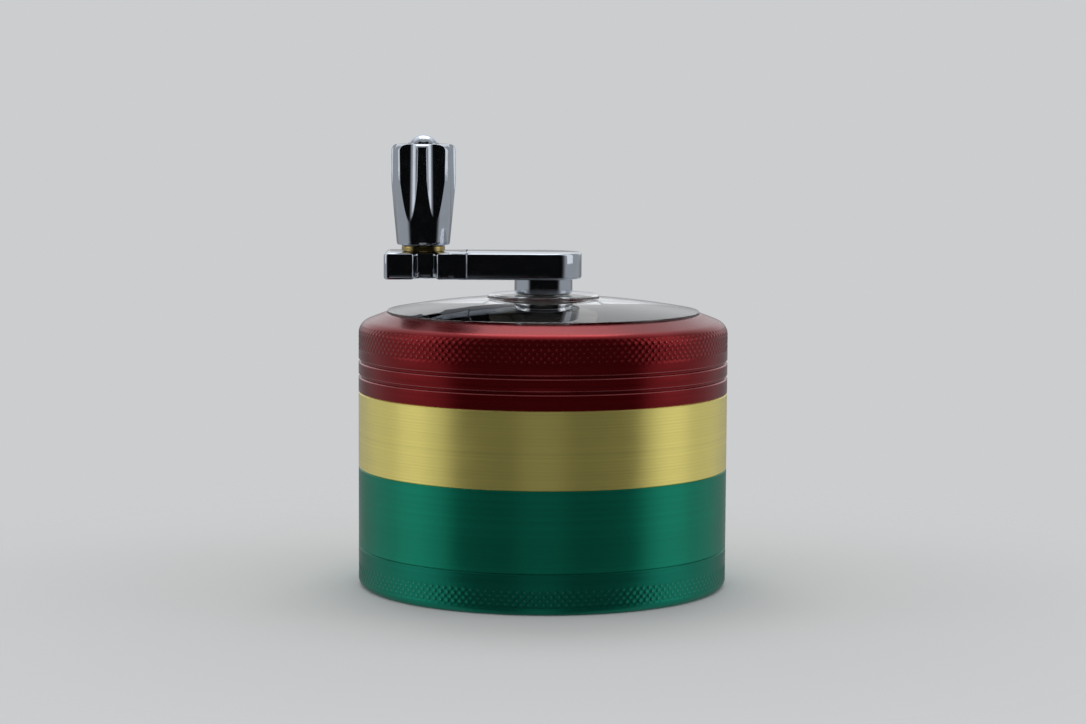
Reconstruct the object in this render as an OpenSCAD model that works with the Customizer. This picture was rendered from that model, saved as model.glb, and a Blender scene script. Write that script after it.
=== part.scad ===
// Hand-crank mill in four round sections: base tray, screen chamber, milling
// chamber and lid. A crank on the lid turns a toothed rotor over fixed teeth.
// Millimetres. The origin is the centre of the base's underside, +Z is the
// crank axis and the crank arm points along -X.

/* [Body] */
// Outside diameter of the four sections
body_d = 63; // [58:0.5:75]
// Wall behind a female thread
thread_wall = 2.2; // [1.9:0.1:2.5]
// Wall of the tray and the screen chamber below their threads
cavity_wall = 3.5; // [3.3:0.1:4.5]
// Wall of the milling chamber
mill_wall = 3.9; // [3.7:0.1:4.5]
// Radius of the rounded edge under the tray
base_round = 1.25; // [0.6:0.05:1.5]
// Chamfer at the edges of the sections, seen as a fine line at each seam
seam_chamfer = 0.15; // [0.05:0.05:0.3]

/* [Section heights] */
// Height of the base tray
tray_h = 6.8; // [6.2:0.1:12]
// Height of the screen chamber's outside
screen_h = 13.5; // [11:0.1:24]
// Height of the milling chamber's outside
mill_h = 12.9; // [11:0.1:18]
// Height of the lid, from its lower edge to the top of the window's rim
lid_h = 13.8; // [12.5:0.1:18]

/* [Threads] */
// Length of each threaded spigot
spigot_h = 3.2; // [2.6:0.1:3.6]
// Free depth under each spigot's end
spigot_end_gap = 0.3; // [0.1:0.1:0.6]
// Height of a thread ridge
thread_depth = 0.35; // [0.2:0.05:0.4]
// Distance between thread ridges
thread_pitch = 1; // [0.8:0.1:1.2]
// Number of thread ridges
thread_turns = 3; // [1:1:3]
// Radial gap between male and female thread crests
thread_gap = 0.3; // [0.25:0.05:0.5]
// Wall of a male spigot
spigot_wall = 1.9; // [1.4:0.1:2.4]

/* [Tray] */
// Thickness of the tray's floor
tray_floor = 1.6; // [1:0.1:2.2]
// Radius of the fillet round the tray's floor
tray_fillet = 1; // [0.5:0.1:1.2]

/* [Screen] */
// Height of the ledge that carries the screen, above the section's lower edge
screen_ledge = 0.8; // [0.6:0.1:2]
// Height of the hoop round the screen
hoop_h = 1; // [0.8:0.1:1.6]
// Radial width of the hoop
hoop_w = 1.5; // [1.2:0.1:2]
// Thickness of the screen
mesh_t = 0.3; // [0.2:0.05:0.4]
// Depth of the hoop's groove round the screen
mesh_grip = 0.9; // [0.6:0.1:1]
// Height of the snap ring
snap_h = 0.8; // [0.6:0.1:1]
// Radial width of the snap ring
snap_w = 1.2; // [0.9:0.1:1.5]
// Depth of the snap ring's groove in the chamber wall
snap_seat = 0.35; // [0.2:0.05:0.6]
// Width of the split in the snap ring
snap_split = 6; // [3:0.5:10]

/* [Milling chamber] */
// Height of the floor's underside above the section's lower edge
floor_rise = 0.6; // [0.4:0.1:1.5]
// Thickness of the perforated floor
floor_t = 2.5; // [2:0.1:3]
// Diameter of the holes in the floor
hole_d = 3.4; // [2.6:0.1:3.5]
// Width of metal left between the outer holes and the spigot's bore
hole_edge = 0.4; // [0.2:0.1:0.8]
// Angle of an outer hole from the middle between two outer teeth, in degrees
pair_angle = 5.625; // [5:0.125:6]
// Height of the lip that enters the lid
lip_h = 3.8; // [3.2:0.1:4.4]
// Wall of the lip
lip_wall = 1.1; // [0.9:0.1:1.4]
// Radial gap between the lip and the lid
lip_gap = 0.5; // [0.45:0.05:0.8]
// Gap between the lip's top and the lid
lip_end_gap = 0.5; // [0.3:0.1:0.8]
// Height of the glide ring
glide_h = 1.6; // [1:0.1:2]
// Depth of the glide ring's groove in the lip
glide_seat = 0.4; // [0.2:0.05:0.5]
// How far the glide ring stands out of the lip
glide_proud = 0.2; // [0.1:0.05:0.2]
// Radius of the centre post
post_r = 6.5; // [6:0.1:7]
// Height of the centre post above the floor
post_h = 6.6; // [5:0.1:8]

/* [Teeth] */
// Radius of the innermost ring of teeth
first_ring_r = 9.4; // [9:0.1:10]
// Radial gap between the paths of neighbouring rings of teeth
tooth_gap = 0.9; // [0.6:0.05:1.2]
// Distance of the outermost teeth from the rotor's rim
tooth_edge = 0.2; // [0.1:0.05:0.6]
// Width of a tooth along its ring
tooth_w = 3.8; // [2.6:0.1:4.2]
// Gap between the rotor's teeth and the chamber floor
tooth_end_gap = 0.8; // [0.5:0.1:1.5]
// Depth of the chamber's tooth tips below its lip
tooth_inset = 1.6; // [0.6:0.1:4]
// Chamfer height at a tooth's tip
tooth_tip = 0.8; // [0.4:0.1:1.5]
// Width that is left of a tooth at its tip
tooth_tip_w = 1.9; // [1.4:0.1:2.2]

/* [Lid] */
// Radius of the round window
window_r = 26.6; // [24:0.1:27]
// Thickness of the window at its rim
window_t = 3; // [2.5:0.1:3.5]
// Rise of the domed window over its rim
dome_h = 2.4; // [1.5:0.1:2.4]
// How far the window's rim stands above the lid ring
window_proud = 0.3; // [0.1:0.05:0.5]
// Slope of the lid's upper face, in degrees
shoulder_slope = 21; // [15:1:30]
// Radius of the round between the slope and the side
shoulder_round = 2.4; // [0.8:0.1:2.5]
// Thickness of the gasket under the window
gasket_t = 0.3; // [0.2:0.05:0.5]
// Radial width of the window's ledge
ledge_w = 1.6; // [1.2:0.1:2.5]
// Thickness of the window's ledge
ledge_t = 0.75; // [0.6:0.05:1.2]
// Height of the lower outer groove's middle above the lid's lower edge
groove_low = 2.8; // [2:0.05:3]
// Distance between the two outer grooves
groove_pitch = 2.55; // [1.5:0.05:3]
// Width of an outer groove
groove_w = 0.7; // [0.4:0.05:1.2]
// Depth of an outer groove
groove_depth = 0.35; // [0.15:0.05:0.6]

/* [Window boss] */
// Radius of the raised boss on the dome
boss_r = 9.55; // [8:0.05:12]
// Height of the boss's top above the window's rim
boss_h = 2.8; // [2.7:0.1:5]
// Radius of the round at the boss's top edge
boss_round = 0.5; // [0.3:0.05:0.6]
// Wall of the bush in the boss
bush_wall = 1.15; // [0.8:0.05:1.4]

/* [Drive] */
// Radius of the shaft's round journal
journal_r = 3.3; // [3.3:0.05:3.6]
// Radial running clearance of the shaft in its bush
journal_gap = 0.05; // [0.02:0.01:0.08]
// Side of the shaft's square ends
square_side = 4.6; // [4:0.1:4.6]
// Depth of the shaft's square in the crank arm
arm_socket = 3.4; // [2.5:0.1:3.8]
// Length of the rotor's square socket
rotor_socket = 5; // [4:0.1:5.5]
// How far the shaft stops short of the socket's end, so that the screw clamps
shaft_short = 0.2; // [0.1:0.05:0.4]
// Thickness of the thrust washer
thrust_t = 0.75; // [0.5:0.05:1]
// Radial width of the thrust washer
thrust_w = 4; // [2:0.1:4.2]
// Axial play of the rotor under its washer, and of the collar over the boss
axial_play = 0.1; // [0.05:0.01:0.15]

/* [Rotor] */
// Radial gap between the rotor and the milling chamber's wall
rotor_gap = 0.3; // [0.3:0.05:0.6]
// Thickness of the rotor's plate
plate_t = 2.4; // [1.8:0.1:3]
// Gap between the rotor's plate and the window's ledge
plate_gap = 0.35; // [0.3:0.05:0.6]
// Radius of the raised cap on the plate
hub_cap_r = 8; // [7.6:0.1:10]
// Gap between the rotor's hub and the centre post
hub_gap = 0.5; // [0.3:0.1:1]
// Radius of both magnets
magnet_r = 4.4; // [4.2:0.1:5]
// Thickness of both magnets
magnet_t = 2.5; // [1.5:0.1:3]
// Radius of the screw's thread
screw_r = 1.5; // [1.2:0.05:1.6]
// Length of the screw's thread
screw_len = 7; // [5:0.1:8]
// Radius of the screw's head
screw_head_r = 2.8; // [2.6:0.1:3.2]
// Height of the screw's head
screw_head_h = 1.8; // [1.4:0.1:2.2]
// Across corners of the screw's hexagon socket
hex_d = 2.9; // [2:0.1:3.2]
// Depth of the screw's hexagon socket
hex_depth = 1.26; // [1:0.02:1.3]
// Radius of the lock washer
lock_r = 3.6; // [3.5:0.05:3.7]
// Thickness of the lock washer
lock_t = 0.6; // [0.4:0.1:0.8]
// Width of the split in the lock washer
lock_split = 0.5; // [0.3:0.1:0.8]

/* [Crank arm] */
// Distance from the crank axis to the knob's axis
crank_r = 20.5; // [18:0.1:23]
// Width of the arm over its hub and its end block
arm_w = 13; // [11:0.1:14]
// Width of the bar between them
bar_w = 12.4; // [9:0.1:12.8]
// Thickness of the arm
arm_t = 4.45; // [4.2:0.05:6]
// Length of the arm beyond the knob's axis
arm_end = 6.45; // [5.6:0.05:7]
// Radius of the end block's corners
arm_corner = 1; // [0.5:0.1:1.5]
// Length of the end block, from the knob's axis towards the hub
block_len = 7.5; // [6:0.1:9]
// Width of the notch across the end block
notch_w = 3.8; // [2:0.1:4.4]
// Depth of the notch from each side
notch_depth = 3.1; // [1:0.1:3.4]
// Distance of the notch from the knob's axis, towards the hub
notch_shift = 0.55; // [0:0.05:0.8]
// Depth of the hollow in the block's side, between notch and bar
waist_depth = 0.3; // [0.1:0.05:0.5]
// Radius of the collar under the hub
collar_r = 4.95; // [4.8:0.05:6]
// Height of the collar
collar_h = 2.6; // [1.5:0.1:5]

/* [Knob] */
// Height of the knob
knob_h = 17.15; // [13:0.05:24]
// Radius of the knob at its foot
knob_foot_r = 4.5; // [4:0.05:4.9]
// Radius of the knob at its widest
knob_top_r = 5.5; // [5.1:0.05:6]
// Height at which the knob is at its widest
knob_wide_z = 10.8; // [8:0.1:11.5]
// Radius of the round at the knob's top
knob_round = 1.2; // [0.5:0.1:1.4]
// Radius of the round at the knob's foot
knob_foot_round = 0.3; // [0.1:0.05:0.4]
// Number of flutes round the knob
flutes = 7; // [5:1:8]
// Depth of a flute at the knob's top
flute_depth = 0.9; // [0.4:0.05:1.1]
// Radius of a flute's hollow
flute_r = 2.8; // [2:0.1:3.2]
// Height at which a flute runs out
flute_start_z = 4.3; // [3:0.1:6]
// Radius of the knob's pin
pin_r = 1.5; // [1.3:0.05:1.8]
// Radial running clearance of the knob on its pin
pin_gap = 0.05; // [0.02:0.01:0.08]
// Radius of the pin's domed head
pin_head_r = 2.6; // [2.3:0.1:3.2]
// Height of the pin's domed head
pin_head_h = 1.55; // [1:0.05:2]
// Depth of the pin's peened end in the arm
peen_h = 0.8; // [0.5:0.1:1.2]
// How much wider the peened end is than the pin
peen_flare = 0.8; // [0.4:0.1:1.2]
// Radius of the washer under the knob
knob_washer_r = 3.7; // [3.2:0.1:4.2]
// Thickness of the washer under the knob
knob_washer_t = 1.1; // [0.6:0.1:1.6]
// Axial play of the knob between its washer and the pin's head
knob_play = 0.05; // [0.02:0.01:0.15]

/* [Hidden] */

$fn = 96;
// Facets of the floor's small holes
hole_facets = 32;
// Overlap of a cutter beyond the face that it cuts
cut = 1;
// Clearance between pieces that are pressed, glued or clamped together
seat_gap = 0.02;
// Teeth in each ring, from the inside out
ring_teeth = [4, 8, 12];
// Holes in the two inner rings of the floor, from the inside out
ring_holes = [12, 20];
// Chord points of a rounded edge
round_steps = 10;

body_r = body_d / 2;
screen_z = tray_h;
mill_z = screen_z + screen_h;
lid_z = mill_z + mill_h;
top_z = lid_z + lid_h;

female_r = body_r - thread_wall;
male_r = female_r - 2 * thread_depth - thread_gap;
spigot_bore_r = male_r - spigot_wall;
cavity_r = body_r - cavity_wall;
thread_recess = spigot_h + spigot_end_gap;

mesh_seat_z = screen_z + screen_ledge;
hoop_r = cavity_r - seat_gap;
mesh_z = mesh_seat_z + (hoop_h - mesh_t) / 2;
snap_z = mesh_seat_z + hoop_h;

floor_z = mill_z + floor_rise;
floor_top_z = floor_z + floor_t;
mill_r = body_r - mill_wall;
lip_r = mill_r + lip_wall;
lip_z = lid_z + lip_h;
glide_z = lid_z + (lip_h - glide_h) / 2;
lid_bore_r = lip_r + lip_gap;
post_z = floor_top_z + post_h;

rotor_r = mill_r - rotor_gap;
ring_pitch = (rotor_r - tooth_edge - first_ring_r + tooth_gap / 2) / (2 * len(ring_teeth) - 0.5);
tooth_depth = ring_pitch - tooth_gap;

window_z = top_z - window_t;
ledge_z = window_z - gasket_t - ledge_t;
plate_z = ledge_z - plate_gap - plate_t;
hub_top_z = window_z - thrust_t - axial_play;
hub_z = post_z + hub_gap;
boss_z = top_z + boss_h;
dome_r = (window_r * window_r + dome_h * dome_h) / (2 * dome_h);
socket_z = hub_top_z - rotor_socket;
shaft_z = socket_z + shaft_short;
head_z = socket_z - lock_t - screw_head_h;

bush_r = journal_r + journal_gap + bush_wall;
collar_z = boss_z + axial_play;
arm_z = collar_z + collar_h;
arm_top_z = arm_z + arm_t;
knob_z = arm_top_z + knob_washer_t + knob_play;
knob_top_z = knob_z + knob_h;
pin_head_z = knob_top_z + knob_play;

// Points of a quarter round of radius r about (x, z), from angle a0 to a1
function arc(x, z, r, a0, a1) =
    [for (i = [0:round_steps]) let (a = a0 + (a1 - a0) * i / round_steps) [x + r * cos(a), z + r * sin(a)]];

// Solid of revolution about the Z axis
module turned(points) {
    rotate_extrude() polygon(points);
}

// Flat ring between two radii
module ring(outer_r, inner_r, z, h) {
    translate([0, 0, z]) difference() {
        cylinder(r = outer_r, h = h);
        translate([0, 0, -cut]) cylinder(r = inner_r, h = h + 2 * cut);
    }
}

// Thread ridges on a wall of radius r, standing out by height: negative points inwards
module ridges(r, z, height) {
    for (i = [0:thread_turns - 1])
        turned([
            [r - sign(height) * cut / 2, z + i * thread_pitch],
            [r, z + i * thread_pitch],
            [r + height, z + (i + 0.5) * thread_pitch],
            [r, z + (i + 1) * thread_pitch],
            [r - sign(height) * cut / 2, z + (i + 1) * thread_pitch]
        ]);
}

// Male spigot that hangs from a section's lower edge at height z
module spigot(z) {
    ring(male_r, spigot_bore_r, z - spigot_h, spigot_h);
    intersection() {
        ridges(male_r, z - (spigot_h + thread_turns * thread_pitch) / 2, thread_depth);
        ring(female_r, spigot_bore_r, z - spigot_h, spigot_h);
    }
}

// Outline of a section's wall down to radius inner_r, with a chamfer at both edges
module section_wall(inner_r, z, h) {
    turned([
        [inner_r, z],
        [body_r - seam_chamfer, z],
        [body_r, z + seam_chamfer],
        [body_r, z + h - seam_chamfer],
        [body_r - seam_chamfer, z + h],
        [inner_r, z + h]
    ]);
}

// Female threaded mouth, cut down from height z
module mouth(z) {
    difference() {
        translate([0, 0, z - thread_recess]) cylinder(r = female_r, h = thread_recess + cut);
        ridges(female_r, z - (thread_recess + thread_turns * thread_pitch) / 2, -thread_depth);
    }
}

// Bottom tray that catches what falls through the screen
module base_tray() {
    color("seagreen") difference() {
        turned(concat(
            [[0, 0]],
            arc(body_r - base_round, base_round, base_round, -90, 0),
            [[body_r, tray_h - seam_chamfer], [body_r - seam_chamfer, tray_h], [0, tray_h]]
        ));
        turned(concat(
            [[0, tray_floor]],
            arc(cavity_r - tray_fillet, tray_floor + tray_fillet, tray_fillet, -90, 0),
            [[cavity_r, tray_h + cut], [0, tray_h + cut]]
        ));
        mouth(tray_h);
    }
}

// Second section, which carries the screen on an inner ledge
module screen_chamber() {
    color("seagreen") {
        difference() {
            section_wall(spigot_bore_r, screen_z, screen_h);
            translate([0, 0, mesh_seat_z]) cylinder(r = cavity_r, h = screen_h);
            translate([0, 0, snap_z]) cylinder(r = cavity_r + snap_seat, h = snap_h + seat_gap);
            mouth(mill_z);
        }
        spigot(screen_z);
    }
}

// Woven screen, drawn as a thin disc
module screen_mesh() {
    color("lightgray") translate([0, 0, mesh_z])
        cylinder(r = hoop_r - hoop_w + mesh_grip - seat_gap, h = mesh_t);
}

// Crimped hoop that grips the screen's edge
module screen_hoop() {
    color("silver") difference() {
        ring(hoop_r, hoop_r - hoop_w, mesh_seat_z, hoop_h);
        translate([0, 0, mesh_z]) cylinder(r = hoop_r - hoop_w + mesh_grip, h = mesh_t);
    }
}

// Split ring that locks the hoop down
module screen_snap_ring() {
    color("silver") difference() {
        ring(cavity_r + snap_seat - seat_gap, cavity_r + snap_seat - snap_w, snap_z, snap_h);
        translate([0, -snap_split / 2, snap_z - cut]) cube([body_r, snap_split, snap_h + 2 * cut]);
    }
}

// One diamond tooth that stands up from height z
module tooth(z, h) {
    half = [tooth_depth / 2, tooth_w / 2];
    tip = tooth_tip_w / 2;
    translate([0, 0, z]) intersection() {
        linear_extrude(h) polygon([[half.x, 0], [0, half.y], [-half.x, 0], [0, -half.y]]);
        rotate([90, 0, 90]) linear_extrude(tooth_depth, center = true)
            polygon([[-half.y, 0], [half.y, 0], [half.y, h - tooth_tip], [tip, h],
                [-tip, h], [-half.y, h - tooth_tip]]);
    }
}

// Rings of teeth: first = 0 for the chamber's rings, 1 for the rotor's
module teeth(first, z, h) {
    for (i = [0:len(ring_teeth) - 1], k = [0:ring_teeth[i] - 1])
        rotate((k + 0.5) * 360 / ring_teeth[i])
            translate([first_ring_r + (2 * i + first) * ring_pitch, 0, 0])
                tooth(z, h);
}

// Radius of the hole ring i in the floor
function hole_ring_r(i) = first_ring_r + (2 * i + 1) * ring_pitch;

// Holes of the floor: two full rings, and pairs between the outermost teeth
module floor_holes() {
    outer_r = spigot_bore_r - hole_d / 2 - hole_edge;
    outer_teeth = ring_teeth[len(ring_teeth) - 1];
    for (i = [0:len(ring_holes) - 1], k = [0:ring_holes[i] - 1])
        floor_hole(hole_ring_r(i), (k + 0.5) * 360 / ring_holes[i]);
    for (k = [0:outer_teeth - 1], side = [-1, 1])
        floor_hole(outer_r, k * 360 / outer_teeth + side * pair_angle);
}

// Cutter for one hole of the floor, at radius r and angle a
module floor_hole(r, a) {
    rotate(a) translate([r, 0, floor_z - cut])
        cylinder(d = hole_d, h = floor_t + 2 * cut, $fn = hole_facets);
}

// Third section: perforated floor, fixed teeth and the centre post
module milling_chamber() {
    color("goldenrod") {
        difference() {
            union() {
                section_wall(mill_r, mill_z, mill_h);
                translate([0, 0, mill_z]) cylinder(r = mill_r + cut / 2, h = floor_rise + floor_t);
                ring(lip_r, mill_r, lid_z - cut, lip_h + cut);
            }
            translate([0, 0, mill_z - cut]) cylinder(r = spigot_bore_r, h = floor_rise + cut);
            ring(lip_r + cut, lip_r - glide_seat, glide_z, glide_h);
            floor_holes();
        }
        spigot(mill_z);
        teeth(0, floor_z + cut, lip_z - tooth_inset - floor_z - cut);
        difference() {
            translate([0, 0, floor_z]) cylinder(r = post_r, h = post_z - floor_z);
            translate([0, 0, post_z - magnet_t]) cylinder(r = magnet_r + seat_gap, h = magnet_t + cut);
        }
    }
}

// Magnet in the centre post
module chamber_magnet() {
    color("silver") translate([0, 0, post_z - magnet_t]) cylinder(r = magnet_r, h = magnet_t);
}

// Low-friction ring in the lip's groove, on which the lid glides
module glide_ring() {
    color("white") ring(lip_r + glide_proud, lip_r - glide_seat + seat_gap,
        glide_z + seat_gap, glide_h - 2 * seat_gap);
}

// Lid ring: knurled side, two grooves, a sloped shoulder and the window's ledge
module lid_ring() {
    seat_r = window_r + seat_gap;
    rim_z = top_z - window_proud;
    corner_z = rim_z - (body_r - seat_r) * tan(shoulder_slope);
    run = shoulder_round * tan(45 - shoulder_slope / 2);
    color("firebrick") difference() {
        turned(concat(
            [[seat_r - ledge_w, lid_z], [body_r - seam_chamfer, lid_z], [body_r, lid_z + seam_chamfer]],
            arc(body_r - shoulder_round, corner_z - run, shoulder_round, 0, 90 - shoulder_slope),
            [[seat_r, rim_z], [seat_r - ledge_w, rim_z]]
        ));
        translate([0, 0, lid_z - cut]) cylinder(r = lid_bore_r, h = lip_h + lip_end_gap + cut);
        translate([0, 0, lid_z]) cylinder(r = rotor_r + 2 * rotor_gap, h = ledge_z - lid_z);
        translate([0, 0, ledge_z + ledge_t]) cylinder(r = seat_r, h = top_z - ledge_z);
        for (i = [0, 1])
            groove(lid_z + groove_low + i * groove_pitch);
    }
}

// Groove round the lid's side, centred on height z
module groove(z) {
    turned([
        [body_r - groove_depth, z - groove_w / 2 + groove_depth / 2],
        [body_r + cut, z - groove_w / 2 - cut / 2],
        [body_r + cut, z + groove_w / 2 + cut / 2],
        [body_r - groove_depth, z + groove_w / 2 - groove_depth / 2]
    ]);
}

// Clear window: flat below, domed above, with a raised boss round the shaft
module window() {
    color("lightcyan", 0.5) difference() {
        union() {
            turned(concat(
                [[0, window_z], [window_r, window_z]],
                arc(0, top_z + dome_h - dome_r, dome_r, acos(window_r / dome_r), 90)
            ));
            turned(concat(
                [[0, window_z + window_t / 2], [boss_r, window_z + window_t / 2]],
                arc(boss_r - boss_round, boss_z - boss_round, boss_round, 0, 90),
                [[0, boss_z]]
            ));
        }
        translate([0, 0, window_z - cut]) cylinder(r = bush_r + seat_gap, h = window_t + boss_h + 2 * cut);
    }
}

// Gasket between the window and its ledge
module window_gasket() {
    color("dimgray") ring(window_r, window_r - ledge_w + seat_gap, window_z - gasket_t, gasket_t);
}

// Sleeve in the boss, in which the shaft turns
module shaft_bush() {
    color("silver") ring(bush_r, journal_r + journal_gap, window_z, window_t + boss_h);
}

// Washer between the window and the rotor
module thrust_washer() {
    inner_r = journal_r + journal_gap + seat_gap;
    color("ivory") ring(inner_r + thrust_w, inner_r, window_z - thrust_t, thrust_t);
}

// Rotor: plate, hanging teeth, and a hub with the square socket
module rotor() {
    color("lightgray") difference() {
        union() {
            translate([0, 0, plate_z]) cylinder(r = rotor_r, h = plate_t);
            translate([0, 0, plate_z]) cylinder(r = hub_cap_r, h = hub_top_z - plate_z);
            translate([0, 0, hub_z]) cylinder(r = post_r, h = plate_z - hub_z + cut);
            rotor_teeth();
        }
        translate([0, 0, hub_z - cut]) cylinder(r = magnet_r + seat_gap, h = magnet_t + cut);
        translate([0, 0, hub_z]) cylinder(r = lock_r + seat_gap, h = socket_z - hub_z);
        translate([0, 0, socket_z - cut]) square_bar(square_side + 2 * seat_gap, rotor_socket + 2 * cut);
    }
}

// The rotor's teeth, which hang from the plate
module rotor_teeth() {
    root_z = plate_z + plate_t - cut;
    translate([0, 0, root_z]) mirror([0, 0, 1]) teeth(1, 0, root_z - floor_top_z - tooth_end_gap);
}

// Square bar of side w that stands on z = 0
module square_bar(w, h) {
    translate([-w / 2, -w / 2, 0]) cube([w, w, h]);
}

// Magnet in the rotor's hub
module rotor_magnet() {
    color("silver") translate([0, 0, hub_z]) cylinder(r = magnet_r, h = magnet_t);
}

// Socket screw that clamps the rotor to the shaft
module rotor_screw() {
    color("silver") difference() {
        union() {
            translate([0, 0, head_z]) cylinder(r = screw_head_r, h = screw_head_h);
            translate([0, 0, head_z]) cylinder(r = screw_r, h = screw_head_h + lock_t + screw_len);
        }
        translate([0, 0, head_z - cut]) cylinder(d = hex_d, h = hex_depth + cut, $fn = 6);
    }
}

// Split washer under the screw's head
module lock_washer() {
    color("silver") difference() {
        ring(lock_r, screw_r + seat_gap, socket_z - lock_t, lock_t);
        translate([0, -lock_split / 2, socket_z - lock_t - cut])
            cube([body_r, lock_split, lock_t + 2 * cut]);
    }
}

// Steel shaft with a square at each end and a tapped hole below
module drive_shaft() {
    color("gray") difference() {
        union() {
            translate([0, 0, hub_top_z]) cylinder(r = journal_r, h = arm_z - hub_top_z);
            translate([0, 0, shaft_z]) square_bar(square_side, arm_z + arm_socket - shaft_z);
        }
        translate([0, 0, shaft_z - cut])
            cylinder(r = screw_r + seat_gap, h = screw_len + cut + shaft_short);
    }
}

// Outline of the crank arm, seen from above
module arm_outline() {
    end_x = -crank_r - arm_end;
    block_x = -crank_r + block_len;
    notch_x = -crank_r + notch_shift;
    waist_len = block_x - notch_x - notch_w / 2;
    waist_r = (waist_len * waist_len / 4 + waist_depth * waist_depth) / (2 * waist_depth);
    circle(d = arm_w);
    translate([block_x - cut, -bar_w / 2]) square([-block_x + cut, bar_w]);
    difference() {
        union() {
            translate([end_x + arm_corner, -arm_w / 2]) square([block_x - end_x - arm_corner, arm_w]);
            translate([end_x, -arm_w / 2 + arm_corner]) square([arm_corner + cut, arm_w - 2 * arm_corner]);
            for (side = [-1, 1])
                translate([end_x + arm_corner, side * (arm_w / 2 - arm_corner)]) circle(r = arm_corner);
        }
        for (side = [-1, 1]) {
            translate([notch_x - notch_w / 2, side * arm_w / 2 - notch_depth])
                square([notch_w, 2 * notch_depth]);
            translate([block_x - waist_len / 2, side * (arm_w / 2 + waist_r - waist_depth)])
                circle(r = waist_r);
        }
    }
}

// Crank arm with its collar; the shaft's square and the knob's pin are fixed in it
module crank_arm() {
    color("silver") difference() {
        union() {
            translate([0, 0, arm_z]) linear_extrude(arm_t) arm_outline();
            translate([0, 0, collar_z]) cylinder(r = collar_r, h = collar_h + cut);
        }
        translate([0, 0, collar_z - cut]) cylinder(r = journal_r + seat_gap, h = collar_h + cut);
        translate([0, 0, arm_z - cut]) square_bar(square_side + 2 * seat_gap, arm_socket + cut);
        translate([-crank_r, 0, 0]) {
            translate([0, 0, arm_z - cut]) cylinder(r = pin_r + seat_gap, h = arm_t + 2 * cut);
            translate([0, 0, arm_z])
                cylinder(r1 = pin_r + peen_flare + seat_gap, r2 = pin_r + seat_gap, h = peen_h);
        }
    }
}

// Washer between the arm and the knob
module knob_washer() {
    color("darkkhaki") translate([-crank_r, 0, 0])
        ring(knob_washer_r, pin_r + seat_gap, arm_top_z, knob_washer_t);
}

// Fluted knob, which turns on its pin
module crank_knob() {
    color("silver") translate([-crank_r, 0, knob_z]) difference() {
        turned(concat(
            [[0, 0]],
            arc(knob_foot_r - knob_foot_round, knob_foot_round, knob_foot_round, -90, 0),
            [[knob_top_r, knob_wide_z]],
            arc(knob_top_r - knob_round, knob_h - knob_round, knob_round, 0, 90),
            [[0, knob_h]]
        ));
        translate([0, 0, -cut]) cylinder(r = pin_r + pin_gap, h = knob_h + 2 * cut);
        for (i = [0:flutes - 1])
            rotate((i + 0.5) * 360 / flutes - 90) flute();
    }
}

// Cutter for one flute: a leaning cylinder that just leaves the knob at its lower end
module flute() {
    rise = knob_h - flute_start_z;
    start_r = knob_foot_r + (knob_top_r - knob_foot_r) * flute_start_z / knob_wide_z;
    lean = start_r - knob_top_r + flute_depth;
    translate([start_r + flute_r, 0, flute_start_z]) rotate([0, -atan(lean / rise), 0])
        translate([0, 0, -flute_start_z]) cylinder(r = flute_r, h = 2 * knob_h);
}

// Pin of the knob: peened end, shank and domed head
module knob_pin() {
    dome_r = (pin_head_r * pin_head_r + pin_head_h * pin_head_h) / (2 * pin_head_h);
    color("silver") translate([-crank_r, 0, 0]) {
        translate([0, 0, arm_z]) cylinder(r1 = pin_r + peen_flare, r2 = pin_r, h = peen_h);
        translate([0, 0, arm_z]) cylinder(r = pin_r, h = pin_head_z - arm_z + pin_head_h / 2);
        intersection() {
            translate([0, 0, pin_head_z + pin_head_h - dome_r]) sphere(r = dome_r);
            translate([0, 0, pin_head_z]) cylinder(r = pin_head_r + cut, h = pin_head_h + cut);
        }
    }
}

base_tray();
screen_chamber();
screen_mesh();
screen_hoop();
screen_snap_ring();
milling_chamber();
chamber_magnet();
glide_ring();
lid_ring();
window();
window_gasket();
shaft_bush();
thrust_washer();
rotor();
rotor_magnet();
rotor_screw();
lock_washer();
drive_shaft();
crank_arm();
knob_washer();
crank_knob();
knob_pin();
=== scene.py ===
"""Looks of the hand-crank mill: its surfaces, finishes, studio and camera.

Lengths in the classes are millimetres in the mill's own frame: the origin is the centre of the
underside, +Z is the crank axis and the crank arm points along -X. Meshes are put in as metres.
"""

import logging
import math
from dataclasses import dataclass, replace
from enum import Enum
from typing import Callable, Optional, Sequence

import bpy
import numpy as np
from mathutils import Matrix, Vector
from mathutils.geometry import delaunay_2d_cdt


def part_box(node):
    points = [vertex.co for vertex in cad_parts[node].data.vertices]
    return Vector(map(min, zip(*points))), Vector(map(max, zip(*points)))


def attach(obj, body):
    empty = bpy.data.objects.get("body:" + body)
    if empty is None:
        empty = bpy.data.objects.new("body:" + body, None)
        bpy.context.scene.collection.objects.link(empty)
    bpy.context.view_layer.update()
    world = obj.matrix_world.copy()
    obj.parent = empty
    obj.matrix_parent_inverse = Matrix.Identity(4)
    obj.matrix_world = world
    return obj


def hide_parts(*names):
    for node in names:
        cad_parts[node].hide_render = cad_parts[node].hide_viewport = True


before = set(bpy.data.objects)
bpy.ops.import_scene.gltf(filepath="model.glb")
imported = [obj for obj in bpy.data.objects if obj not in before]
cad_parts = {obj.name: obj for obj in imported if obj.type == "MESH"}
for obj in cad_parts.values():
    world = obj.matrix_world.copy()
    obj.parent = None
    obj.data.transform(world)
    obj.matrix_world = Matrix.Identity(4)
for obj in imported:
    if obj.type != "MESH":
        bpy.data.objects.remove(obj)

log = logging.getLogger("mill")

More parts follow.
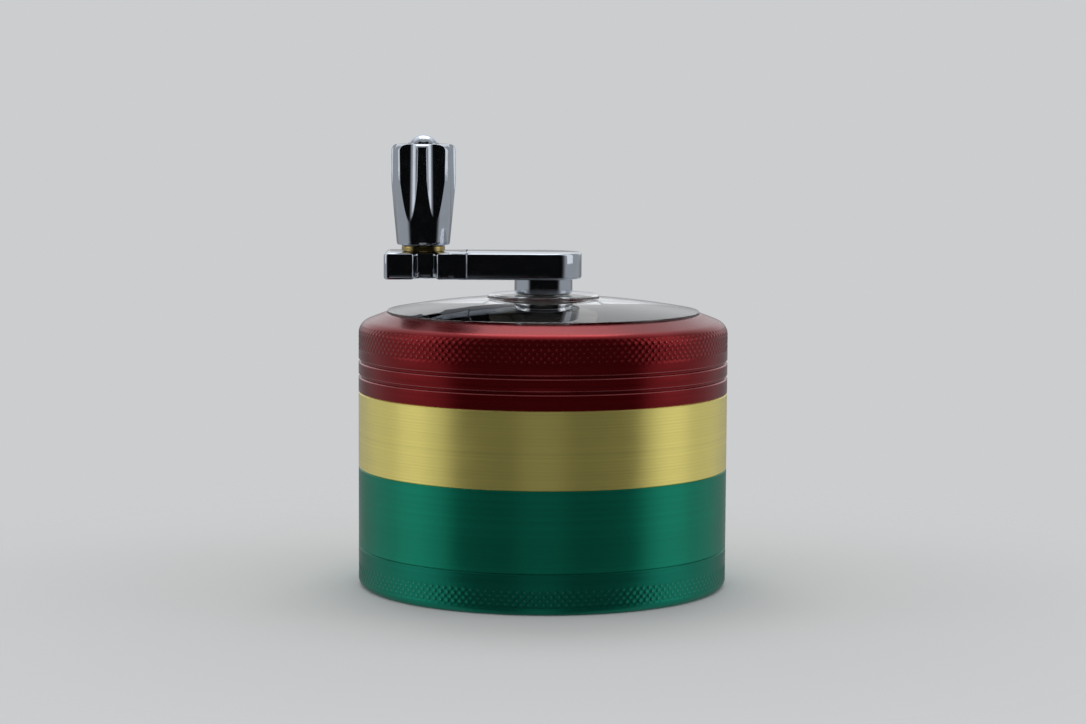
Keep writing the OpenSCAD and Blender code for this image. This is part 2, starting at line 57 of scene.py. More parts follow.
MM = 0.001
TURN = 2.0 * math.pi
OUTSIDE = 31.5  # outside radius of the four sections, in millimetres
SEAM = 0.02  # gap that is left between two pieces that touch, in millimetres
Corner = tuple[float, ...]
Colour = tuple[float, float, float]
Interval = tuple[float, float]
Relief = Callable[[np.ndarray, np.ndarray, np.ndarray], np.ndarray]
Socket = bpy.types.NodeSocket


class Body(Enum):
    """Rigid bodies of the frame that the pieces ride on."""

    TRAY = "tray"
    SCREEN = "screen_section"
    MILLING = "milling_section"
    LID = "lid"
    CRANK = "crank"
    KNOB = "knob"


class Slot(Enum):
    """Material slots of the record."""

    GREEN = "green_anodised"
    GOLD = "gold_anodised"
    RED = "red_anodised"
    ALUMINIUM = "plain_aluminium"
    CHROME = "chrome_plate"
    NICKEL = "nickel_plate"
    STEEL = "plain_steel"
    WOVEN = "woven_steel"
    BRASS = "brass_washer"
    NYLON = "white_nylon"
    ACRYLIC = "clear_acrylic"
    RUBBER = "grey_rubber"


# --------------------------------------------------------------------------- surfaces


@dataclass
class Shell:
    """Closed surface made of corner points (mm) and faces of three, four or more corners."""

    points: np.ndarray
    quads: np.ndarray
    tris: np.ndarray
    caps: tuple[np.ndarray, ...] = ()

    def triangles(self) -> np.ndarray:
        """All faces as triangles; a cap is fanned from its first corner, which keeps its area."""
        fans = [np.stack([np.full(len(c) - 2, c[0]), c[1:-1], c[2:]], axis=1) for c in self.caps]
        return np.concatenate([self.quads[:, [0, 1, 2]], self.quads[:, [0, 2, 3]], self.tris, *fans])

    def outward(self) -> "Shell":
        """Shell with its faces outwards, told by the sign of its volume (a sum of p0 . p1 x p2)."""
        a, b, c = (self.points[self.triangles()[:, k]] for k in range(3))
        if float(np.einsum("ij,ij->i", a, np.cross(b, c)).sum()) >= 0.0:
            return self
        caps = tuple(c[::-1] for c in self.caps)
        return Shell(self.points, self.quads[:, ::-1], self.tris[:, ::-1], caps)

    def moved(self, x: float) -> "Shell":
        """Shell shifted by x along X."""
        return Shell(self.points + np.array([x, 0.0, 0.0]), self.quads, self.tris, self.caps)

    def turned(self, angle: float) -> "Shell":
        """Shell turned about Z by angle, in radians."""
        c, s = math.cos(angle), math.sin(angle)
        spin = np.array([[c, s, 0.0], [-s, c, 0.0], [0.0, 0.0, 1.0]])
        return Shell(self.points @ spin, self.quads, self.tris, self.caps)


NO_TRIS = np.zeros((0, 3), dtype=int)


def joined(shells: Sequence[Shell]) -> Shell:
    """Several closed shells as one.

    Args:
        shells: the shells, in order.

    Returns:
        One shell that holds them all, each with its faces outwards.
    """
    whole = [s.outward() for s in shells]
    starts = np.cumsum([0] + [len(s.points) for s in whole[:-1]])
    return Shell(
        np.concatenate([s.points for s in whole]),
        np.concatenate([s.quads + n for s, n in zip(whole, starts)]),
        np.concatenate([s.tris + n for s, n in zip(whole, starts)]),
        tuple(c + n for s, n in zip(whole, starts) for c in s.caps),
    )


def circle(radius: float, angles: np.ndarray) -> np.ndarray:
    """Points (x, y) of a circle about the origin, one row for each angle."""
    return radius * np.stack([np.cos(angles), np.sin(angles)], axis=1)


def rounded(corners: Sequence[Corner], closed: bool = False, steps: int = 5) -> np.ndarray:
    """Outline through corners, with an arc of its own radius at each.

    An arc is centred on the corner's bisector at radius / sin(half angle), and meets both sides
    at radius / tan(half angle) from the corner.

    Args:
        corners: (x, y, radius) of each corner, or (x, y) of a sharp one.
        closed: whether the last corner joins the first.
        steps: segments in each arc.

    Returns:
        Points of the outline, one row each.
    """
    spots = np.array([c[:2] for c in corners], dtype=float)
    count = len(spots)
    parts = []
    for i, (spot, corner) in enumerate(zip(spots, corners)):
        if len(corner) == 2 or (not closed and i in (0, count - 1)):
            parts.append(spot[None])
            continue
        radius = corner[2]
        before, after = spots[i - 1] - spot, spots[(i + 1) % count] - spot
        before, after = before / np.linalg.norm(before), after / np.linalg.norm(after)
        half = math.acos(float(np.clip(before @ after, -1.0, 1.0))) / 2.0
        bisector = (before + after) / np.linalg.norm(before + after)
        centre = spot + bisector * radius / math.sin(half)
        start, end = (spot + side * radius / math.tan(half) - centre for side in (before, after))
        first = math.atan2(start[1], start[0])
        sweep = (math.atan2(end[1], end[0]) - first + math.pi) % TURN - math.pi
        angles = first + sweep * np.linspace(0.0, 1.0, steps + 1)
        parts.append(centre + circle(radius, angles))
    return np.concatenate(parts)


def ring(inner: float, outer: float, low: float, high: float, rounds: Sequence[float],
         steps: int = 5) -> np.ndarray:
    """Profile of a ring with a square section.

    Args:
        inner: inside radius.
        outer: outside radius.
        low: height of the underside.
        high: height of the upper face.
        rounds: radii of the corners, from the lower inner one to the upper inner one; 0 is sharp.
        steps: segments in each corner.

    Returns:
        Points of the closed profile, one row each.
    """
    spots = ((inner, low), (outer, low), (outer, high), (inner, high))
    return rounded([(*s, r) if r else s for s, r in zip(spots, rounds)], closed=True, steps=steps)


def disc(radius: float, low: float, high: float, lower: float, upper: float) -> np.ndarray:
    """Profile of a disc from height low to high; lower and upper are its edges' radii."""
    return rounded([(0.0, low), (radius, low, lower), (radius, high, upper), (0.0, high)])


def cap(radius: float, swing: np.ndarray, top: float) -> np.ndarray:
    """Profile of a sphere with its top at that height, at the angles swing from its axis."""
    return np.stack([radius * np.sin(swing), top - radius * (1.0 - np.cos(swing))], axis=1)


def wall(radius: float, low: float, high: float, rows: int) -> np.ndarray:
    """Straight stretch of a profile at one radius, from height low to high, in rows segments."""
    return np.stack([np.full(rows + 1, radius), np.linspace(low, high, rows + 1)], axis=1)


def revolved(profile: np.ndarray, columns: int, relief: Optional[Relief] = None) -> Shell:
    """Surface of revolution about Z, with an optional relief.

    A point at (r, z) of the profile goes to ((r + relief) cos a, (r + relief) sin a, z) at each of
    the columns' angles a. A profile that starts and ends on the axis is closed by two poles;
    any other is closed on itself, as a ring.

    Args:
        profile: (r, z) rows, counter-clockwise seen with r to the right and z up.
        columns: number of angles round the axis.
        relief: change of radius as a function of (angle, r, z), or None.

    Returns:
        The closed shell.
    """
    poles = profile[0, 0] == 0.0 and profile[-1, 0] == 0.0
    rows = profile[1:-1] if poles else profile
    angle = (np.arange(columns) * TURN / columns)[:, None]
    r, z = rows[None, :, 0], rows[None, :, 1]
    radius = r + relief(angle, r, z) if relief else r + 0.0 * angle
    grid = np.stack([radius * np.cos(angle), radius * np.sin(angle), z + 0.0 * angle], axis=2)
    count = len(rows)
    total = columns * count
    across = np.arange(count - 1 if poles else count)
    here = np.arange(columns)[:, None] * count + across[None]
    up = np.arange(columns)[:, None] * count + ((across + 1) % count)[None]
    quads = np.stack([here, (here + count) % total, (up + count) % total, up], axis=2).reshape(-1, 4)
    points, tris = grid.reshape(-1, 3), NO_TRIS
    if poles:
        points = np.concatenate([points, [[0.0, 0.0, profile[0, 1]], [0.0, 0.0, profile[-1, 1]]]])
        first = np.arange(columns) * count
        last = first + count - 1
        tris = np.concatenate([
            np.stack([np.full(columns, total), (first + count) % total, first], axis=1),
            np.stack([np.full(columns, total + 1), last, (last + count) % total], axis=1),
        ])
    return Shell(points, quads, tris).outward()


def tube(steps: int, count: int) -> np.ndarray:
    """Quads of steps rows between closed loops of count points each, numbered loop by loop."""
    loop = np.arange(count)
    start = np.arange(steps)[:, None] * count
    here, side = start + loop[None], start + ((loop + 1) % count)[None]
    return np.stack([here, side, side + count, here + count], axis=2).reshape(-1, 4)


def slab(outline: np.ndarray, low: float, high: float, edge: float, steps: int = 3) -> Shell:
    """Flat plate with rounded upper and lower edges.

    Each layer is the outline moved inwards along its own normals by edge (1 - cos t) at height
    edge (1 - sin t) from the face, with t from 0 at the face to a right angle at the side.

    Args:
        outline: (x, y) rows of a closed outline, counter-clockwise.
        low: height of the underside.
        high: height of the upper face.
        edge: radius of the rounded edges.
        steps: segments in each rounded edge.

    Returns:
        The closed shell, with one cap above and one below.
    """
    ahead = np.roll(outline, -1, axis=0) - outline
    normal = np.stack([ahead[:, 1], -ahead[:, 0]], axis=1)
    normal /= np.linalg.norm(normal, axis=1, keepdims=True)
    normal = normal + np.roll(normal, 1, axis=0)
    normal /= np.maximum((normal**2).sum(axis=1, keepdims=True) / 2.0, 1.0)
    t = np.linspace(0.0, math.pi / 2.0, steps + 1)
    inset = edge * (1.0 - np.sin(t))
    rise = edge * (1.0 - np.cos(t))
    insets = np.concatenate([inset, inset[::-1]])
    heights = np.concatenate([low + rise, (high - rise)[::-1]])
    layers = outline[None] - normal[None] * insets[:, None, None]
    tall = np.broadcast_to(heights[:, None, None], (*layers.shape[:2], 1))
    points = np.concatenate([layers, tall], axis=2).reshape(-1, 3)
    count, last = len(outline), len(heights) - 1
    loop = np.arange(count)
    return Shell(points, tube(last, count), NO_TRIS, (loop[::-1], loop + last * count))


def smoothstep(low: float, high: float, value: np.ndarray) -> np.ndarray:
    """Smooth 0 to 1 ramp 3t^2 - 2t^3 of value between low and high."""
    t = np.clip((value - low) / (high - low), 0.0, 1.0)
    return t * t * (3.0 - 2.0 * t)


def faded(low: float, high: float, fade: float, value: np.ndarray) -> np.ndarray:
    """1 between low and high, falling smoothly to 0 over the outermost fade at both ends."""
    return smoothstep(low, low + fade, value) * (1.0 - smoothstep(high - fade, high, value))


@dataclass(frozen=True)
class Knurl:
    """Band of raised diamonds, cut into the wall by two crossing families of slanted grooves.

    Attributes:
        radius: the wall's radius.
        low: height of the band's lower edge.
        high: height of the band's upper edge.
        count: diamonds round the wall.
        row: height from one row of diamonds to the next.
        depth: depth of the grooves.
        groove: share of the way to a diamond's middle over which its groove's side rises.
        fade: height over which the band fades out at its edges.
        reach: how far inside the wall's radius a point still belongs to the band.
        tip: shares of a diamond between which the mask of its tip's painted highlight goes from 0 to 1.
    """

    radius: float
    low: float
    high: float
    count: int = 157
    row: float = 0.67
    depth: float = 0.09
    groove: float = 0.75
    fade: float = 0.12
    reach: float = 0.6
    tip: Interval = (0.34, 0.46)

    def __call__(self, angle: np.ndarray, r: np.ndarray, z: np.ndarray) -> np.ndarray:
        """Change of radius: minus depth where angle * count / turn +- z / (2 row) is whole."""
        around, along = angle * self.count / TURN, (z - self.low) / (2.0 * self.row)
        ridges = [np.abs(c - np.round(c)) * 2.0 for c in (around + along, around - along)]
        height = smoothstep(0.0, self.groove, np.minimum(*ridges))
        outer = r > self.radius - self.reach
        return -self.depth * (1.0 - height) * faded(self.low, self.high, self.fade, z) * outer

    def tips(self, graph: "Graph", place: Socket) -> Socket:
        """Mask of the painted highlight on the diamonds' tips, from object coordinates in millimetres.
        """
        x, y, z = graph.split(place)
        around = graph.math("MULTIPLY", graph.math("ARCTAN2", y, x), self.count / TURN)
        along = graph.math("DIVIDE", graph.math("SUBTRACT", z, self.low), 2.0 * self.row)
        crossing = [graph.math(sign, around, along) for sign in ("ADD", "SUBTRACT")]
        ridges = [graph.math("PINGPONG", way, 0.5) for way in crossing]
        tip = graph.ramp(graph.math("MINIMUM", *ridges), *self.tip, 0.0, 1.0)
        middle, half = (self.low + self.high) / 2.0, (self.high - self.low) / 2.0 - 0.1
        return graph.math("MULTIPLY", tip, graph.math("COMPARE", z, middle, half))


TRAY_KNURL = Knurl(OUTSIDE, 1.2, 4.2)
LID_KNURL = Knurl(OUTSIDE, 40.5, 44.6)


@dataclass(frozen=True)
class Thread:
    """Helical V thread on a wall.

    Attributes:
        radius: the wall's radius at the thread's root.
        low: height where the thread starts.
        high: height where it ends.
        depth: height of the crest, negative on an inner wall.
        pitch: rise of one turn.
        run_out: height over which it fades out at both ends.
    """

    radius: float
    low: float
    high: float
    depth: float
    pitch: float = 1.0
    run_out: float = 0.25

    def __call__(self, angle: np.ndarray, r: np.ndarray, z: np.ndarray) -> np.ndarray:
        """Change of radius: a triangle wave of z / pitch - angle / turn, faded out at both ends."""
        phase = (z - self.low) / self.pitch - angle / TURN
        crest = 1.0 - np.abs(2.0 * (phase - np.floor(phase)) - 1.0)
        inside = faded(self.low, self.high, self.run_out, z) * (np.abs(r - self.radius) < SEAM)
        return self.depth * smoothstep(0.15, 0.85, crest) * inside


@dataclass(frozen=True)
class TurnedLines:
    """Feed marks of the lathe tool on an outer wall: shallow scallops one above the other."""

    radius: float
    low: float
    high: float
    pitch: float
    depth: float

    def __call__(self, angle: np.ndarray, r: np.ndarray, z: np.ndarray) -> np.ndarray:
        """Change of radius: minus depth (1 - |sin|) of half a turn per pitch."""
        wave = 1.0 - np.abs(np.sin(math.pi * (z - self.low) / self.pitch))
        inside = (z > self.low) & (z < self.high) & (np.abs(r - self.radius) < SEAM)
        return -self.depth * wave * inside + 0.0 * angle


def reliefs(*parts: Relief) -> Relief:
    """Several reliefs added up as one."""
    return lambda angle, r, z: sum(part(angle, r, z) for part in parts)


# --------------------------------------------------------------------------- finishes


class Graph:
    """Node graph of a material or the world, with short calls to add and join nodes."""

    def __init__(self, owner: bpy.types.Material | bpy.types.World) -> None:
        """Starts on owner's node tree, emptied."""
        owner.use_nodes = True
        self.owner = owner
        self.tree = owner.node_tree
        self.tree.nodes.clear()

    def node(self, kind: str, inputs: Optional[dict] = None, **settings: object) -> bpy.types.Node:
        """Adds a node.

        Args:
            kind: the node's type name without its ShaderNode prefix.
            inputs: socket name or index to a value, or to another node's socket to link.
            settings: the node's own properties.

        Returns:
            The node.
        """
        made = self.tree.nodes.new("ShaderNode" + kind)
        for name, value in settings.items():
            setattr(made, name, value)
        for key, value in (inputs or {}).items():
            if isinstance(value, bpy.types.NodeSocket):
                self.tree.links.new(value, made.inputs[key])
            else:
                made.inputs[key].default_value = value
        return made

    def math(self, operation: str, *values: object) -> Socket:
        """Output of a Math node on values."""
        return self.node("Math", dict(enumerate(values)), operation=operation).outputs[0]

    def split(self, vector: Socket) -> Sequence[Socket]:
        """The three parts of a vector."""
        return self.node("SeparateXYZ", {0: vector}).outputs

    def flat(self, x: Socket, y: Socket) -> Socket:
        """Vector (x, y, 0)."""
        return self.node("CombineXYZ", {0: x, 1: y}).outputs[0]

    def length(self, vector: Socket) -> Socket:
        """Length of a vector."""
        return self.node("VectorMath", {0: vector}, operation="LENGTH").outputs["Value"]

    def ramp(self, value: object, low: float, high: float, start: float, end: float) -> Socket:
        """Smooth map of value from low..high to start..end."""
        inputs = {"Value": value, "From Min": low, "From Max": high, "To Min": start, "To Max": end}
        return self.node("MapRange", inputs, interpolation_type="SMOOTHSTEP").outputs["Result"]

    def place(self) -> Socket:
        """Object coordinates in millimetres."""
        where = self.node("TexCoord").outputs["Object"]
        return self.node("Mapping", {"Vector": where, "Scale": (1.0 / MM,) * 3}).outputs[0]

    def noise(self, vector: Socket, scale: float, detail: float = 2.0, kind: str = "3D") -> Socket:
        """Noise of about 0 to 1 on vector."""
        inputs = {"Vector": vector, "Scale": scale, "Detail": detail}
        return self.node("TexNoise", inputs, noise_dimensions=kind).outputs["Fac"]

    def lathe(self, place: Socket) -> tuple[Socket, Socket]:
        """Vector (distance from the axis, height) for turned marks, and the marks' direction."""
        x, y, z = self.split(place)
        flat = self.flat(x, y)
        marks = self.flat(self.length(flat), z)
        up = (0.0, 0.0, 1.0)
        around = self.node("VectorMath", {0: up, 1: flat}, operation="CROSS_PRODUCT").outputs[0]
        world = self.node("VectorTransform", {0: around}, vector_type="VECTOR",
                          convert_from="OBJECT", convert_to="WORLD").outputs[0]
        return marks, world

    def tint(self, colour: Sequence[float], factor: Socket, low: float, high: float) -> Socket:
        """Colour made darker or lighter by factor 0..1, between low and high times itself."""
        scaled = {0: colour, "Scale": self.ramp(factor, 0.25, 0.75, low, high)}
        return self.node("VectorMath", scaled, operation="SCALE").outputs[0]

    def bump(self, strength: float, distance: float, height: Socket) -> Socket:
        """Normal of a relief; distance is its depth in millimetres."""
        inputs = {"Strength": strength, "Distance": distance * MM, "Height": height}
        return self.node("Bump", inputs).outputs[0]

    def finish(self, kind: str, inputs: dict) -> bpy.types.Material | bpy.types.World:
        """Puts a shader of that kind on the output, and returns what the graph belongs to."""
        shader = self.node(kind, inputs).outputs[0]
        output = "OutputWorld" if isinstance(self.owner, bpy.types.World) else "OutputMaterial"
        self.node(output, {"Surface": shader})
        return self.owner


@dataclass(frozen=True)
class TurnedMetal:
    """Metal turned on a lathe: fine rings round an axis that stretch its highlights across them.

    Attributes:
        name: the material's name.
        colour: linear reflectance.
        roughness: roughness of the metal.
        stretch: how far the rings stretch a highlight, from 0 to 1.
        coat: weight of the clear sealed layer.
        ring_scale: rings per millimetre.
        ring_tint: how much the rings vary the colour.
        bump: strength of the rings' relief.
        grazing: what is left of its reflection at a grazing angle, against a bare metal's.
        matt: share of the light that it scatters evenly.
        edges: heights of the outer edges that carry a painted highlight line, in millimetres.
        knurl: knurled band whose diamond tips carry a painted highlight.
        edge_half: half the width of such a painted highlight line.
        edge_radius: radius outside which the painted highlight can show.
        highlight_gain, highlight_rise: the painted highlight's colour is highlight_gain times the
            colour, plus highlight_rise.
    """

    name: str
    colour: Colour
    roughness: float
    stretch: float = 0.6
    coat: float = 0.0
    ring_scale: float = 3.0
    ring_tint: float = 0.06
    bump: float = 0.15
    grazing: float = 1.0
    matt: float = 0.0
    edges: tuple[float, ...] = ()
    knurl: Optional[Knurl] = None
    edge_half: float = 0.06
    edge_radius: float = OUTSIDE - 0.45
    highlight_gain: float = 1.4
    highlight_rise: float = 0.085

    def material(self) -> bpy.types.Material:
        """Material with ring marks in colour, roughness and relief, and a painted highlight on its outer
        edges and knurl tips.
        """
        graph = Graph(bpy.data.materials.new(self.name))
        place = graph.place()
        marks, around = graph.lathe(place)
        rings = graph.noise(marks, self.ring_scale, 3.0, "2D")
        blotches = graph.noise(place, 0.12, 2.0)
        tinted = graph.tint(self.colour, rings, 1.0 - self.ring_tint, 1.0 + self.ring_tint)
        # Painted highlight: a paler copy of the colour, mixed in on the outer edges and knurl tips.
        pale = (*(self.highlight_gain * c + self.highlight_rise for c in self.colour), 1.0)
        colours = {0: self.highlight_mask(graph, place, marks), 6: tinted, 7: pale}
        blotched = graph.ramp(blotches, 0.3, 0.7, self.roughness - 0.03, self.roughness + 0.03)
        return graph.finish("BsdfPrincipled", {
            "Base Color": graph.node("Mix", colours, data_type="RGBA").outputs[2],
            "Metallic": 1.0 - self.matt, "Normal": graph.bump(self.bump, 0.02, rings),
            "Roughness": graph.math("ADD", graph.ramp(rings, 0.2, 0.8, -0.04, 0.04), blotched),
            "Tangent": around, "Anisotropic": self.stretch, "Anisotropic Rotation": 0.25,
            "Specular Tint": (self.grazing, self.grazing, self.grazing, 1.0),
            "Coat Weight": self.coat, "Coat Roughness": 0.12, "Coat IOR": 1.6,
        })

    def highlight_mask(self, graph: Graph, place: Socket, marks: Socket) -> Socket:
        """Mask of the painted highlight on outer edges and knurl tips; marks holds (radius, height)."""
        radius, height = graph.split(marks)[:2]
        mask = self.knurl.tips(graph, place) if self.knurl else graph.math("MULTIPLY", radius, 0.0)
        for edge in self.edges:
            mask = graph.math("MAXIMUM", mask, graph.math("COMPARE", height, edge, self.edge_half))
        outside = graph.math("GREATER_THAN", radius, self.edge_radius)
        return graph.math("MULTIPLY", mask, outside)


@dataclass(frozen=True)
class PolishedMetal:
    """Polished plating with faint orange peel and handling smudges.

    Attributes:
        name: the material's name.
        colour: linear reflectance.
        roughness: roughness of the clean plating.
        smudge: how much rougher a smudge is.
        peel: strength of the orange peel.
    """

    name: str
    colour: Colour
    roughness: float = 0.05
    smudge: float = 0.06
    peel: float = 0.05

    def material(self) -> bpy.types.Material:
        """Material with smudged roughness and a long low waviness in its relief."""
        graph = Graph(bpy.data.materials.new(self.name))
        place = graph.place()
        smudges = graph.noise(place, 0.45, 4.0)
        rough = graph.ramp(smudges, 0.45, 0.75, self.roughness, self.roughness + self.smudge)
        return graph.finish("BsdfPrincipled", {
            "Base Color": graph.tint(self.colour, smudges, 1.03, 0.97), "Metallic": 1.0,
            "Roughness": rough, "Normal": graph.bump(self.peel, 0.05, graph.noise(place, 1.1, 1.0)),
        })


@dataclass(frozen=True)
class Moulded:
    """Opaque plastic or rubber with a fine grain.

    Attributes:
        name: the material's name.
        colour: linear colour.
        roughness: roughness of the surface.
        grain: size of the grain's relief, as bump strength.
    """

    name: str
    colour: Colour
    roughness: float
    grain: float = 0.1

    def material(self) -> bpy.types.Material:
        """Material with a mottled colour and a grained relief."""
        graph = Graph(bpy.data.materials.new(self.name))
        place = graph.place()
        fine = graph.noise(place, 6.0, 3.0)
        tinted = graph.tint(self.colour, graph.noise(place, 0.5, 3.0), 0.94, 1.04)
        rough = graph.ramp(fine, 0.3, 0.7, self.roughness - 0.05, self.roughness + 0.05)
        return graph.finish("BsdfPrincipled", {
            "Base Color": tinted, "Roughness": rough, "IOR": 1.5,
            "Normal": graph.bump(self.grain, 0.03, fine),
        })


@dataclass(frozen=True)
class ClearPlastic:
    """Clear moulded plastic, polished, with faint wiping marks.

    Attributes:
        name: the material's name.
        colour: linear colour of the light that passes.
        roughness: roughness of its clean surface.
    """

    name: str
    colour: Colour
    roughness: float = 0.015

    def material(self) -> bpy.types.Material:
        """Material that bends and mirrors light, slightly rougher in the wiping marks."""
        graph = Graph(bpy.data.materials.new(self.name))
        place = graph.place()
        wipes = graph.noise(place, 0.18, 4.0)
        rough = graph.ramp(wipes, 0.5, 0.8, self.roughness, self.roughness + 0.05)
        return graph.finish("BsdfPrincipled", {
            "Base Color": (*self.colour, 1.0), "Roughness": rough, "IOR": 1.49,
            "Transmission Weight": 1.0,
        })


GREEN = TurnedMetal("green_anodised", (0.006, 0.27, 0.165), 0.36, stretch=0.9, coat=0.01,
                    ring_scale=2.2, bump=0.08, grazing=0.7, matt=0.2)
# The tray's knurl tips carry a painted highlight.
TRAY_GREEN = replace(GREEN, name="green_anodised_tray", colour=(0.006, 0.23, 0.15),
                     ring_tint=0.05, matt=0.15, knurl=TRAY_KNURL)
GOLD = TurnedMetal("gold_anodised", (0.93, 0.81, 0.24), 0.36, stretch=0.9, coat=0.02,
                   ring_scale=2.0, ring_tint=0.05, bump=0.12, matt=0.18)
# The grooves' edges and the knurl tips carry a painted highlight.
RED = TurnedMetal("red_anodised", (0.2, 0.006, 0.009), 0.24, coat=0.02, ring_scale=2.5,
                  ring_tint=0.05, bump=0.06, grazing=0.9, matt=0.2,
                  edges=(35.75, 36.4, 38.3, 38.95), knurl=LID_KNURL)
ALUMINIUM = TurnedMetal("machined_aluminium", (0.42, 0.43, 0.45), 0.38, stretch=0.5,
                        ring_scale=2.5, ring_tint=0.10, bump=0.2)
STEEL = TurnedMetal("bright_steel", (0.5, 0.5, 0.51), 0.25, stretch=0.4, ring_scale=4.0, bump=0.1)
WIRE = PolishedMetal("screen_wire", (0.5, 0.5, 0.5), roughness=0.25)
CHROME = PolishedMetal("chrome_plate", (0.5, 0.54, 0.6))
NICKEL = PolishedMetal("nickel_plate", (0.55, 0.54, 0.5), roughness=0.18)
BRASS = PolishedMetal("dull_brass", (0.45, 0.34, 0.13), roughness=0.16)
NYLON = Moulded("natural_nylon", (0.72, 0.70, 0.62), roughness=0.45)
RUBBER = Moulded("gasket_rubber", (0.03, 0.03, 0.032), roughness=0.6)
ACRYLIC = ClearPlastic("clear_acrylic", (0.97, 0.985, 1.0))

Finish = TurnedMetal | PolishedMetal | Moulded | ClearPlastic


def placed(name: str, data: bpy.types.ID) -> bpy.types.Object:
    """Object called name, made of data and put into the scene."""
    made = bpy.data.objects.new(name, data)
    bpy.context.scene.collection.objects.link(made)
    return made


class Workshop:
    """Puts shells into the scene as pieces, and dresses the frame's own nodes."""

    def __init__(self) -> None:
        """Starts with no materials made."""
        self.materials: dict[str, bpy.types.Material] = {}

    def material(self, finish: Finish) -> bpy.types.Material:
        """The finish's material, made on its first use."""
        if finish.name not in self.materials:
            self.materials[finish.name] = finish.material()
        return self.materials[finish.name]

    def piece(self, name: str, shell: Shell, finish: Finish, body: Body,
              node: str, crease: float = 32.0) -> bpy.types.Object:
        """Makes a mesh piece that rides on a body and stands for a frame node.

        Args:
            name: the piece's name.
            shell: its surface, in millimetres.
            finish: its finish.
            body: the body that it rides on.
            node: the frame node that it stands for.
            crease: angle in degrees past which an edge is drawn sharp.

        Returns:
            The object.
        """
        solid = shell.outward()
        mesh = bpy.data.meshes.new(name)
        flat = [solid.quads.ravel(), solid.tris.ravel(), *solid.caps]
        totals = np.array([4] * len(solid.quads) + [3] * len(solid.tris)
                          + [len(c) for c in solid.caps])
        mesh.vertices.add(len(solid.points))
        mesh.vertices.foreach_set("co", (solid.points * MM).astype(np.float32).ravel())
        mesh.loops.add(int(totals.sum()))
        mesh.loops.foreach_set("vertex_index", np.concatenate(flat).astype(np.int32))
        mesh.polygons.add(len(totals))
        mesh.polygons.foreach_set("loop_start", (np.cumsum(totals) - totals).astype(np.int32))
        mesh.polygons.foreach_set("use_smooth", np.ones(len(totals), dtype=bool))
        mesh.update(calc_edges=True)
        mesh.validate()
        mesh.set_sharp_from_angle(angle=math.radians(crease))
        mesh.materials.append(self.material(finish))
        made = placed(name, mesh)
        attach(made, body.value)
        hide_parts(node)
        log.info("%s: %d faces on %s", name, len(totals), body.value)
        return made

    def dress(self, node: str, finish: Finish) -> None:
        """Gives a frame node the finish, in its material slots."""
        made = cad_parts[node]
        made.data.materials.clear()
        made.data.materials.append(self.material(finish))
        log.info("%s: dressed in %s", node, finish.name)


# --------------------------------------------------------------------------- sections


@dataclass(frozen=True)
class BodySizes:
    """Sizes that the four sections share.

    Attributes:
        radius: outside radius.
        tray_top, screen_top, milling_top, lid_top: heights of the sections' upper edges.
        chamfer: chamfer at each section's edges.
        female: radius of a female thread's root.
        male: radius of a male thread's root.
        bore: inside radius of a spigot.
        cavity: inside radius of the tray and the screen chamber.
        spigot: length of a spigot.
        recess: depth of a threaded mouth.
        crest: height of a thread's crest.
        lead: height of the plain lead into a mouth.
        columns, knurl_columns: angles round a plain and a knurled surface of revolution.
        thread_rows: rows of points on a thread.
    """

    radius: float = OUTSIDE
    tray_top: float = 6.8
    screen_top: float = 20.3
    milling_top: float = 33.2
    lid_top: float = 47.0
    chamfer: float = 0.15
    female: float = 29.3
    male: float = 28.3
    bore: float = 26.4
    cavity: float = 28.0
    spigot: float = 3.2
    recess: float = 3.5
    crest: float = 0.35
    lead: float = 0.25
    columns: int = 320
    knurl_columns: int = 785
    thread_rows: int = 26

    def mouth(self, top: float) -> np.ndarray:
        """Profile of a threaded mouth, from its upper edge down to its floor's inner edge."""
        down = wall(self.female, top - self.lead, top - self.recess, self.thread_rows)
        return np.concatenate([[[self.female + 0.2, top]], down, [[self.cavity, top - self.recess]]])

    def mouth_thread(self, top: float) -> Thread:
        """Thread of the mouth whose upper edge is at height top."""
        return Thread(self.female, top - self.recess + 0.1, top - 0.2, -self.crest)

    def outside(self, low: float, top: float, rows: int) -> np.ndarray:
        """Profile of a section's chamfered outside from height low to top, in rows segments."""
        straight = wall(self.radius, low + self.chamfer, top - self.chamfer, rows)
        inner = self.radius - self.chamfer
        return np.concatenate([[[inner, low]], straight, [[inner, top]]])

    def spigot_wall(self, z: float) -> np.ndarray:
        """Profile of a spigot that hangs from height z, from its bore round to its root."""
        low = z - self.spigot
        ends = rounded([(self.bore, low + 1.0), (self.bore, low, 0.15), (self.male, low, 0.25),
                        (self.male, low + 0.5)])
        return np.concatenate([ends, wall(self.male, low + 0.5, z - 0.1, self.thread_rows)[1:]])

    def spigot_thread(self, z: float) -> Thread:
        """Thread of the spigot that hangs from height z."""
        return Thread(self.male, z - self.spigot + 0.3, z - 0.15, self.crest)


BODY = BodySizes()
SMALL = 96  # angles round a small surface of revolution


